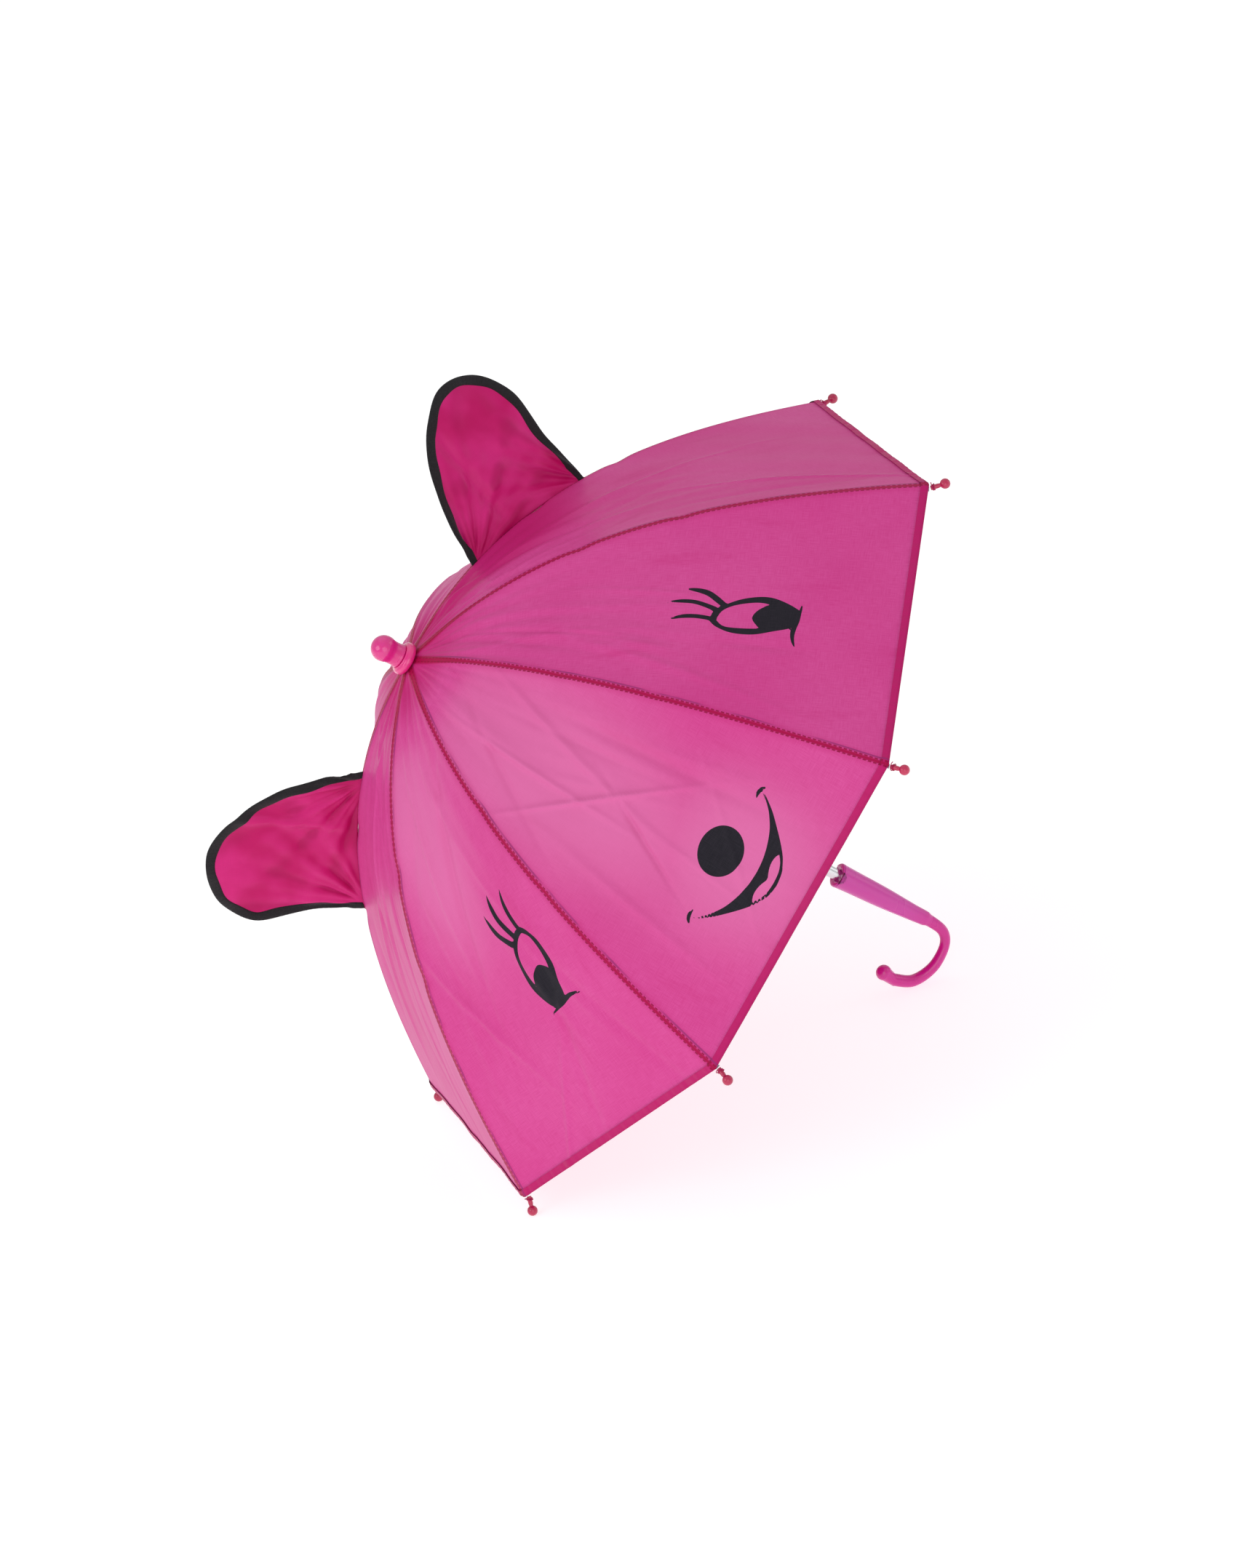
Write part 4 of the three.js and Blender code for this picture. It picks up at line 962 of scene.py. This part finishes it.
def ear_height(name, x, y):
    """How far the ear's cloth stands out of its plane: a slow bend, and its folds."""
    turn = 1.0 if name == "upper" else -1.0
    bend = turn * 2.4 * np.sin(y / 106 * np.pi * 0.9) * np.cos(x / 75)
    slow = 0.6 * np.sin(x * 0.09 + y * 0.05) * np.sin(y * 0.07 + 1)
    return bend + 1.7 * ear_folds(x, y) + slow


def ear_points(name, x, y):
    """Points of an ear in metres, from places in its plane and ear_height out of it."""
    ear, middle, along, out = ear_shape(name)
    flat = middle + x[..., None] * along + y[..., None] * out
    side = ear_height(name, x, y) * smooth_step(0, 12, y)
    return placed(flat[..., 0], side, flat[..., 1], rib_out(ear["rib"]))


def ear_edge(name, count):
    """The outline and the direction into the ear at each of its points."""
    edge = smooth_path(EARS[name]["outline"], np.linspace(0, 1, count))
    way = np.gradient(edge, axis=0)
    way /= np.linalg.norm(way, axis=1, keepdims=True)
    return edge, np.stack([way[:, 1], -way[:, 0]], axis=1)


def ear_cloth(name, material):
    """The ear's cloth: straight lines from the seam it is sewn into to its outline, lifted by ear_height.
    It is given with its flat width and length in metres, and its area."""
    ear, middle, along, out = ear_shape(name)
    edge, inward = ear_edge(name, 240)
    edge = edge + inward * 1.2
    shares = np.linspace(*ear["base"], len(edge))
    ridge = canopy_curve(shares, 0.6)[0] - middle
    foot = np.stack([ridge @ along, ridge @ out], axis=1)
    part = np.linspace(0, 1, 90)[:, None, None]
    flat = foot * (1 - part) + edge * part
    points = ear_points(name, flat[..., 0], flat[..., 1])
    faces = grid_quads(*flat.shape[:2])
    # The fold height also places the ear's painted highlights and shade.
    fold = {"fold": ear_folds(flat[..., 0], flat[..., 1])}
    piece = mesh_object(f"ear_cloth_{name}", points, faces, material, values=fold, uv=flat / 1000)
    two_layers(piece)
    finish_piece(piece, f"rib_{ear['rib']}", "ear_fabric", f"ear_{name}")
    size = edge.max(axis=0) - edge.min(axis=0)
    x, y = np.concatenate([edge, foot[::-1]]).T
    area = abs(float(np.sum(x * np.roll(y, -1) - y * np.roll(x, -1)))) / 2e6
    return piece, (size / 1000).tolist(), area


def ear_tape(name, material):
    """The binding: an oval section, wide in the ear's plane, carried along the outline. It puckers a
    little, and follows ear_height."""
    ear = EARS[name]
    edge, inward = ear_edge(name, 220)
    run = np.concatenate([[0], np.cumsum(np.linalg.norm(np.diff(edge, axis=0), axis=1))])
    from_end = np.minimum(run, run[-1] - run)
    sides = 18
    angle = np.linspace(0, 2 * np.pi, sides, endpoint=False)
    pucker = 1 + 0.07 * np.sin(run * 1.9) + 0.05 * np.sin(run * 3.1 + 1)
    ends = np.sqrt(np.clip(from_end / 1.5, 0.02, 1))
    swell = 0.8 + 0.3 * smooth_step(0, 70, from_end) + 0.07 * np.sin(run * 0.21)
    wide = (TAPE_WIDTH / 2 * swell * ends)[:, None]
    thick = (TAPE_THICK / 2 * pucker * ends)[:, None]
    oval_x, oval_y = (np.sign(v) * np.abs(v) ** 0.75 for v in (np.cos(angle), np.sin(angle)))
    middle = edge + inward * wide
    flat = middle[:, None, :] + inward[:, None, :] * (wide * oval_x)[..., None]
    on_plane = ear_points(name, flat[..., 0], flat[..., 1])
    side = np.cross(UP, rib_out(ear["rib"]))
    points = on_plane + side * (thick * oval_y)[..., None] / 1000
    caps = points[[0, -1]].mean(axis=1)
    points = np.concatenate([points.reshape(-1, 3), caps])
    along = np.concatenate([np.repeat(run, sides), run[[0, -1]]])
    faces = tube_faces(len(edge), sides)
    piece = mesh_object(f"ear_binding_{name}", points, faces, material, values={"along": along})
    turned_out(piece)
    return finish_piece(piece, f"rib_{ear['rib']}", "binding_tape", f"ear_{name}_binding")


class UMBRELLA_OT_ears(bpy.types.Operator):
    """Builds the two ears with their binding"""

    bl_idname = "umbrella.ears"
    bl_label = "Ears"

    def execute(self, context):
        colours = context.scene.umbrella_colours
        cloth, tape = ear_material(colours), binding_material(colours)
        for name, ear in EARS.items():
            piece, size, area = ear_cloth(name, cloth)
            binding = ear_tape(name, tape)
        return {"FINISHED"}


# ---- Tips, ferrule, handle --------------------------------------------------------------------------

TIP_SHANK = 1.6
TIP_NECK = 1.35
TIP_BALL = 3.5
TIP_CENTRE = np.array([300.0, 0.0])
TIP_TURNS = 3.0  # turns of thread round each tip
TIP_THREAD = 0.3
COLLAR_HEIGHT = 6.4
FERRULE_BALL = 8.9
FERRULE_NECK = 7.8
BALL_ABOVE_COLLAR = 12.5
HANDLE_OUT = panel_out(1)  # away from the side that the hook is on
HANDLE_TOP = -126.0
# Radius from the axis, height over the handle's top, and radius of the rod.
HANDLE_ROUTE = [
    (0, 0, 8.7), (0, -22, 7.7), (0, -44, 6.3), (0, -62, 5.1), (0, -80, 4.1), (2.8, -92, 3.7),
    (12, -98, 3.6), (28, -98, 3.9), (42, -90, 4.2), (47.3, -77, 4.4),
]  # fmt: skip
HOOK_END = (46.0, -67.8, 5.5)
ROUTE_START = 0.012
ROUTE_ROWS = 190
ROWS_KEPT = 150  # of these rows, the ones that are never inside the ball at the hook's end
GRIP_PROUD = 0.75  # how far the grip stands out past the hook's rod
SADDLE_RADIUS = 4.6
SADDLE_DEPTH = 3.4
SADDLE_BLEND = 0.35
SADDLE_REACH = 9.0  # length of the grip over which the saddle's shape fades
# Rings of the handle's top, from its edge inwards: inset from the side, and drop.
TOP_RINGS = (
    (0.0, 1.0), (0.25, 0.5), (0.7, 0.15), (1.3, 0.0), (2.6, 0.0), (4.2, 0.05), (4.55, 0.3), (4.64, 1.0),
    (4.64, 5.0),
)  # fmt: skip
TOP_SIDE = 1.4  # the side's own rows start this far below the top


def ball_profile(radius, centre, shank, count=14):
    """Half of a ball's outline, from where it meets a shank of that radius to its top."""
    angle = np.linspace(-math.acos(shank / radius), math.pi / 2, count)[:-1]
    return np.stack([radius * np.cos(angle), centre + radius * np.sin(angle)], axis=1)


class UMBRELLA_OT_tips(bpy.types.Operator):
    """Builds the eight rib tips, each with the thread that ties it to the canopy's corner"""

    bl_idname = "umbrella.tips"
    bl_label = "Tips"

    def execute(self, context):
        colours = context.scene.umbrella_colours
        material = plastic("tip plastic", colours.tips, colours.thread, 0.26, coat=0.4, glow=0.1)
        thread = plastic("sewing thread", colours.thread, colours.hem, 0.7, coat=0, glow=0, grain=0.0002)
        end, _ = canopy_curve(1.0, RIB_DROP)
        reach = float(np.linalg.norm(TIP_CENTRE - end))
        way = unit(TIP_CENTRE - end)
        shank = [(0.3, 1.1), (TIP_SHANK, 1.1), (TIP_SHANK, reach - 5), (TIP_NECK, reach - 3.6)]
        profile = np.concatenate([rounded(shank, 0.3), ball_profile(TIP_BALL, reach, TIP_NECK)])
        for n in range(1, RIBS + 1):
            out = rib_out(n)
            start = placed(end[0], 0.0, end[1], out)
            axis = way[0] * out + way[1] * UP
            tip = lathe(f"tip_{n}", profile, start, axis, material, 32)
            finish_piece(tip, f"rib_{n}", "tip_plastic", f"rib_tip_{n}")
            side = np.cross(UP, out)
            across = np.cross(axis, side)
            turns = np.linspace(0, 1, 90)
            angle = turns * 2 * np.pi * TIP_TURNS + 0.6
            helix = np.cos(angle)[:, None] * side + np.sin(angle)[:, None] * across
            lift = 1.9 + 0.5 * smooth_step(0.8, 1.0, turns) + 1.6 * smooth_step(0.2, 0.0, turns)
            middle = start + (2.2 + 1.6 * turns)[:, None] * axis / 1000 + helix * lift[:, None] / 1000
            ahead = np.gradient(middle, axis=0)
            ahead /= np.linalg.norm(ahead, axis=1, keepdims=True)
            radii = np.full(len(turns), TIP_THREAD / 1000)
            wrap = swept(f"tip_thread_{n}", middle, helix, np.cross(ahead, helix), radii, thread, 8)
            turned_out(wrap)
            finish_piece(wrap, f"rib_{n}", "canopy_fabric")
        return {"FINISHED"}


class UMBRELLA_OT_ferrule(bpy.types.Operator):
    """Builds the ball on top and the collar that holds the crown down"""

    bl_idname = "umbrella.ferrule"
    bl_label = "Ferrule"

    def execute(self, context):
        colours = context.scene.umbrella_colours
        gloss = plastic("ferrule plastic", colours.ferrule, colours.collar, 0.2, coat=0.6, glow=0.25)
        ring = plastic("collar plastic", colours.collar, colours.ferrule, 0.16, coat=0.8, glow=0.2)
        low, top = COLLAR_BOTTOM, COLLAR_BOTTOM + COLLAR_HEIGHT
        centre = top + BALL_ABOVE_COLLAR
        neck = [(0.2, top + GAP), (8.4, top + GAP), (8.2, top + 1.8), (FERRULE_NECK, top + 3.2)]
        neck += [(FERRULE_NECK, centre - 6.2)]
        ball = ball_profile(FERRULE_BALL, centre, FERRULE_NECK + 0.1, 26)
        profile = np.concatenate([rounded(neck, 0.9, 6), ball])
        cap = lathe("ferrule_ball", profile, ORIGIN, UP, gloss, 64)
        finish_piece(cap, "frame", "ferrule_plastic", "ferrule_cap")
        outline = [
            (4.2, low), (10.1, low), (11.3, low + 1.2), (11.3, low + 3.7), (10.5, low + 5.2),
            (9.2, low + 5.7), (8.9, top), (4.3, top),
        ]  # fmt: skip
        collar = lathe("ferrule_ring", rounded(outline, 0.8, 6), ORIGIN, UP, ring, 64)
        finish_piece(collar, "frame", "ferrule_plastic", "ferrule_collar")
        return {"FINISHED"}


def saddle(x):
    """Height of the round notch across the handle's top, nothing or less, with a soft edge."""
    inside = np.sqrt(np.maximum(SADDLE_RADIUS**2 - x**2, 0))
    level = np.where(np.abs(x) < SADDLE_RADIUS, SADDLE_RADIUS - SADDLE_DEPTH - inside, 1.0)
    return -np.log1p(np.exp(-level / SADDLE_BLEND)) * SADDLE_BLEND


def handle_rod(material):
    """The handle: round sections along a smooth route, which narrow down the grip and swell to a ball at
    the hook's end. Its top is hollowed by the saddle, which leaves two lobes beside the tube."""
    route = np.array([(-out, up, radius) for out, up, radius in HANDLE_ROUTE], float)
    end, ball_radius = np.array([-HOOK_END[0], HOOK_END[1]]), HOOK_END[2]
    path = smooth_path(route, np.linspace(ROUTE_START, 1, ROUTE_ROWS))
    place, radius = path[:, :2], path[:, 2].copy()
    # The grip stands a little proud of the hook, with a soft step between them.
    radius += GRIP_PROUD * smooth_step(-78, -74, place[:, 1]) * smooth_step(-10, -45, place[:, 1])
    way = np.gradient(place, axis=0)
    way /= np.linalg.norm(way, axis=1, keepdims=True)
    last = unit(end - place[-1])
    meet = math.acos(radius[-1] / ball_radius)
    angle = np.linspace(-meet, math.pi / 2 - 0.06, 18)[1:]
    ball = end + np.sin(angle)[:, None] * ball_radius * last
    keep = np.linalg.norm(place - end, axis=1) > ball_radius * math.sin(meet)
    keep |= np.arange(len(place)) < ROWS_KEPT
    place = np.concatenate([place[keep], ball])
    way = np.concatenate([way[keep], np.repeat(last[None], len(ball), axis=0)])
    radius = np.concatenate([radius[keep], ball_radius * np.cos(angle)])
    sides = 56
    turn = np.linspace(0, 2 * np.pi, sides, endpoint=False)
    normal = np.stack([way[:, 1], -way[:, 0]], axis=1)
    x = place[:, None, 0] + radius[:, None] * normal[:, None, 0] * np.cos(turn)
    z = place[:, None, 1] + radius[:, None] * normal[:, None, 1] * np.cos(turn)
    y = radius[:, None] * np.sin(turn)
    z = z + np.clip(1 + z / SADDLE_REACH, 0, 1) * saddle(x)
    rings = []
    for inset, drop in TOP_RINGS[::-1]:
        ring = HANDLE_ROUTE[0][2] - inset
        rx, ry = ring * np.cos(turn), ring * np.sin(turn)
        rings.append(np.stack([rx, ry, saddle(rx) - drop], axis=-1))
    on_side = place[:, 1] < -TOP_SIDE
    points = np.concatenate([rings, np.stack([x, y, z], axis=-1)[on_side]])
    along = place[on_side][:, 1] - 0.6 * np.abs(place[on_side][:, 0])
    hook = np.concatenate([np.zeros(len(rings)), smooth_step(-45, -100, along)])
    x, y, z = points.reshape(-1, 3).T
    row = placed(x, y, z + HANDLE_TOP, HANDLE_OUT)
    tip = row[-sides:].mean(axis=0) + (last[0] * HANDLE_OUT + last[1] * UP) * 0.0001
    row = np.concatenate([row, [row[:sides].mean(axis=0), tip]])
    values = {"hook": np.concatenate([np.repeat(hook, sides), hook[[0, -1]]])}
    piece = mesh_object("handle_hook", row, tube_faces(len(points), sides), material, values=values)
    turned_out(piece)
    return finish_piece(piece, "frame", "handle_plastic", "handle")


class UMBRELLA_OT_handle(bpy.types.Operator):
    """Builds the hooked handle"""

    bl_idname = "umbrella.handle"
    bl_label = "Handle"

    def execute(self, context):
        colours = context.scene.umbrella_colours
        top, end = colours.handle, colours.hook
        handle_rod(plastic("handle plastic", top, end, 0.26, coat=0.45, glow=0.25, by="hook"))
        return {"FINISHED"}


# ---- Strap and fittings -----------------------------------------------------------------------------

STRAP_RIB = 8
STRAP_SHARES = (0.8, 0.985)  # where it runs, along the rib's curve
STRAP_ACROSS = (0.12, 0.3)  # its two edges, from the seam, as shares of half a panel
STRAP_ROWS = 60
STRAP_COLUMNS = 16


class UMBRELLA_OT_strap(bpy.types.Operator):
    """Builds the closure strap, sewn to the canopy near its rim"""

    bl_idname = "umbrella.strap"
    bl_label = "Closure strap"

    def execute(self, context):
        scene = context.scene
        t, w = np.meshgrid(np.linspace(0, 1, STRAP_ROWS), np.linspace(-1, 1, STRAP_COLUMNS), indexing="ij")
        taper = np.sqrt(np.clip(1 - np.clip((0.06 - t) / 0.06, 0, 1) ** 2, 0.15, 1))
        near, far = STRAP_ACROSS
        share = STRAP_SHARES[0] + (STRAP_SHARES[1] - STRAP_SHARES[0]) * t
        wide = taper * (CORNER[0] * 0.8 / canopy_curve(share)[0][..., 0])
        across = (near + far) / 2 + (far - near) / 2 * w * wide
        panel = panel_before(STRAP_RIB)
        points, x, y, *_ = panel_points(scene.umbrella_sizes, panel, 1 - across, share)
        lift = 0.9 + 0.5 * np.sin(t * 9) ** 2 * smooth_step(1, 0.9, t)
        out = unit(panel_out(panel) * 0.75 + UP * 0.6)
        points = points + out * lift[..., None] / 1000
        faces = grid_quads(STRAP_ROWS, STRAP_COLUMNS)[:, ::-1]
        flat = np.stack([x, y], axis=-1) / 1000
        piece = mesh_object("strap", points, faces, ear_material(scene.umbrella_colours), uv=flat)
        two_layers(piece)
        finish_piece(piece, f"rib_{STRAP_RIB}", "canopy_fabric", "closure_strap")
        fold_up(piece)
        return {"FINISHED"}


class UMBRELLA_OT_fittings(bpy.types.Operator):
    """Gives the tube, ribs, stretchers, runner and catches their finishes"""

    bl_idname = "umbrella.fittings"
    bl_label = "Fittings"

    def execute(self, context):
        colours = context.scene.umbrella_colours
        steel = metal("bright steel", colours.steel, colours.wire, 0.14)
        wire = metal("rib steel", colours.wire, (70, 70, 76), 0.3)
        nylon = plastic("white nylon", colours.nylon, (214, 211, 216), 0.42, coat=0.0, glow=0.2)
        for name, node, body, material, slot in (
            ("tube", "shaft_tube", "frame", steel, "bright_steel"),
            ("notch", "top_notch", "frame", nylon, "nylon"),
            ("hinge_wire_top", "notch_wire", "frame", wire, "dark_steel"),
            ("slider", "runner", "runner", nylon, "nylon"),
            ("hinge_wire_slider", "runner_wire", "runner", wire, "dark_steel"),
            ("pin", "stop_pin", "frame", steel, "bright_steel"),
        ):
            smoothed_copy(name, node, body, material, slot)
        for name, node in frame["nodes"].items():
            is_wire = name.startswith(("rib_", "stretcher_")) and not name.startswith("rib_tip")
            if is_wire or name.startswith("joint_rivet") or name.endswith("_catch"):
                node.data.materials.clear()
                node.data.materials.append(wire if is_wire else steel)
        return {"FINISHED"}


# ---- The stage --------------------------------------------------------------------------------------


def angle_property(name, description, degrees):
    return bpy.props.FloatProperty(
        name=name, description=description, default=math.radians(degrees), subtype="ANGLE"
    )


class UmbrellaView(bpy.types.PropertyGroup):
    """Where the camera stands."""

    azimuth: angle_property("Azimuth", "Round the object, from its front", -11.312)
    elevation: angle_property("Elevation", "Above the floor", 21.792)
    roll: angle_property("Roll", "Turn of the picture", -17.073)
    distance: bpy.props.FloatProperty(
        name="Distance", description="From the point it looks at", default=4.86277, subtype="DISTANCE"
    )
    lens: bpy.props.FloatProperty(name="Lens", description="Focal length in millimetres", default=166.976)


LOOKED_AT = (0.015452, -0.014354, 0.222376)
FLOOR_REACH = 12.0
FLOOR_GREYS = (0.48, 0.51)
FLOOR_GLOW = 0.72
WORLD_LIGHT = 0.62
LIGHTS = {
    # name: place in metres, size, power in watts
    "key": ((-2.7, -0.9, 1.8), 2.0, 17.0),
    "front": ((-0.5, -3.0, 0.9), 2.2, 13.0),
    "top": ((0.2, 0.6, 2.9), 2.6, 4.0),
    "right": ((2.6, -0.6, 1.2), 1.6, 4.0),
}


class UMBRELLA_OT_stage(bpy.types.Operator):
    """Builds the floor, the lights and the camera"""

    bl_idname = "umbrella.stage"
    bl_label = "Stage"

    def execute(self, context):
        scene = context.scene
        white = (1, 1, 1, 1)
        s = Surface(
            "pale floor",
            Roughness=0.6,
            Specular_IOR_Level=0.2,
            Emission_Color=white,
            Emission_Strength=FLOOR_GLOW,
        )
        dark, light = ((grey,) * 3 + (1,) for grey in FLOOR_GREYS)
        s.set("Base Color", s.mix(s.noise(s.place(), 3.0, 3.0), dark, light))
        corners = np.array([(-1, -1, 0), (1, -1, 0), (1, 1, 0), (-1, 1, 0)]) * FLOOR_REACH
        mesh_object("floor", corners, [(0, 1, 2, 3)], s.material, smooth=False)
        world = bpy.data.worlds.new("studio")
        world.use_nodes = True
        background = world.node_tree.nodes["Background"]
        background.inputs[0].default_value = white
        background.inputs[1].default_value = WORLD_LIGHT
        scene.world = world
        scene.view_settings.view_transform = "Standard"
        middle = Vector((CAD_BOX[0] + CAD_BOX[1]) / 2)
        for name, (place, size, power) in LIGHTS.items():
            lamp = bpy.data.lights.new(name, "AREA")
            lamp.shape = "DISK"
            lamp.size = size
            lamp.energy = power
            light = linked(name, lamp)
            light.location = place
            light.rotation_euler = (middle - Vector(place)).to_track_quat("-Z", "Y").to_euler()
        view = scene.umbrella_view
        a, e = view.azimuth, view.elevation
        back = Vector((math.sin(a) * math.cos(e), -math.cos(a) * math.cos(e), math.sin(e)))
        data = bpy.data.cameras.new("camera")
        data.lens = view.lens
        data.sensor_width = 36
        data.clip_end = 100
        camera = linked("camera", data)
        turn = (-back).to_track_quat("-Z", "Y").to_matrix().to_4x4() @ Matrix.Rotation(view.roll, 4, "Z")
        camera.matrix_world = Matrix.Translation(Vector(LOOKED_AT) + back * view.distance) @ turn
        scene.camera = camera
        return {"FINISHED"}


OPERATORS = (
    UMBRELLA_OT_canopy,
    UMBRELLA_OT_ears,
    UMBRELLA_OT_tips,
    UMBRELLA_OT_ferrule,
    UMBRELLA_OT_handle,
    UMBRELLA_OT_strap,
    UMBRELLA_OT_fittings,
    UMBRELLA_OT_stage,
)
GROUPS = {"umbrella_colours": UmbrellaColours, "umbrella_sizes": UmbrellaSizes, "umbrella_view": UmbrellaView}


class UMBRELLA_PT_panel(bpy.types.Panel):
    """Lists the umbrella's pieces in the sidebar"""

    bl_idname = "UMBRELLA_PT_panel"
    bl_label = "Umbrella"
    bl_space_type = "VIEW_3D"
    bl_region_type = "UI"
    bl_category = "Umbrella"

    def draw(self, context):
        for operator in OPERATORS:
            self.layout.operator(operator.bl_idname)
        for name, group in GROUPS.items():
            box = self.layout.box()
            for key in group.__annotations__:
                box.prop(getattr(context.scene, name), key)


def register():
    for group in GROUPS.values():
        bpy.utils.register_class(group)
    for operator in (*OPERATORS, UMBRELLA_PT_panel):
        bpy.utils.register_class(operator)
    for name, group in GROUPS.items():
        setattr(bpy.types.Scene, name, bpy.props.PointerProperty(type=group))


def unregister():
    for name in GROUPS:
        delattr(bpy.types.Scene, name)
    for operator in (*OPERATORS, UMBRELLA_PT_panel):
        bpy.utils.unregister_class(operator)
    for group in GROUPS.values():
        bpy.utils.unregister_class(group)


def main():
    register()
    for operator in OPERATORS:
        module, name = operator.bl_idname.split(".")
        getattr(getattr(bpy.ops, module), name)()
    bpy.context.view_layer.update()


if __name__ == "__main__":
    main()
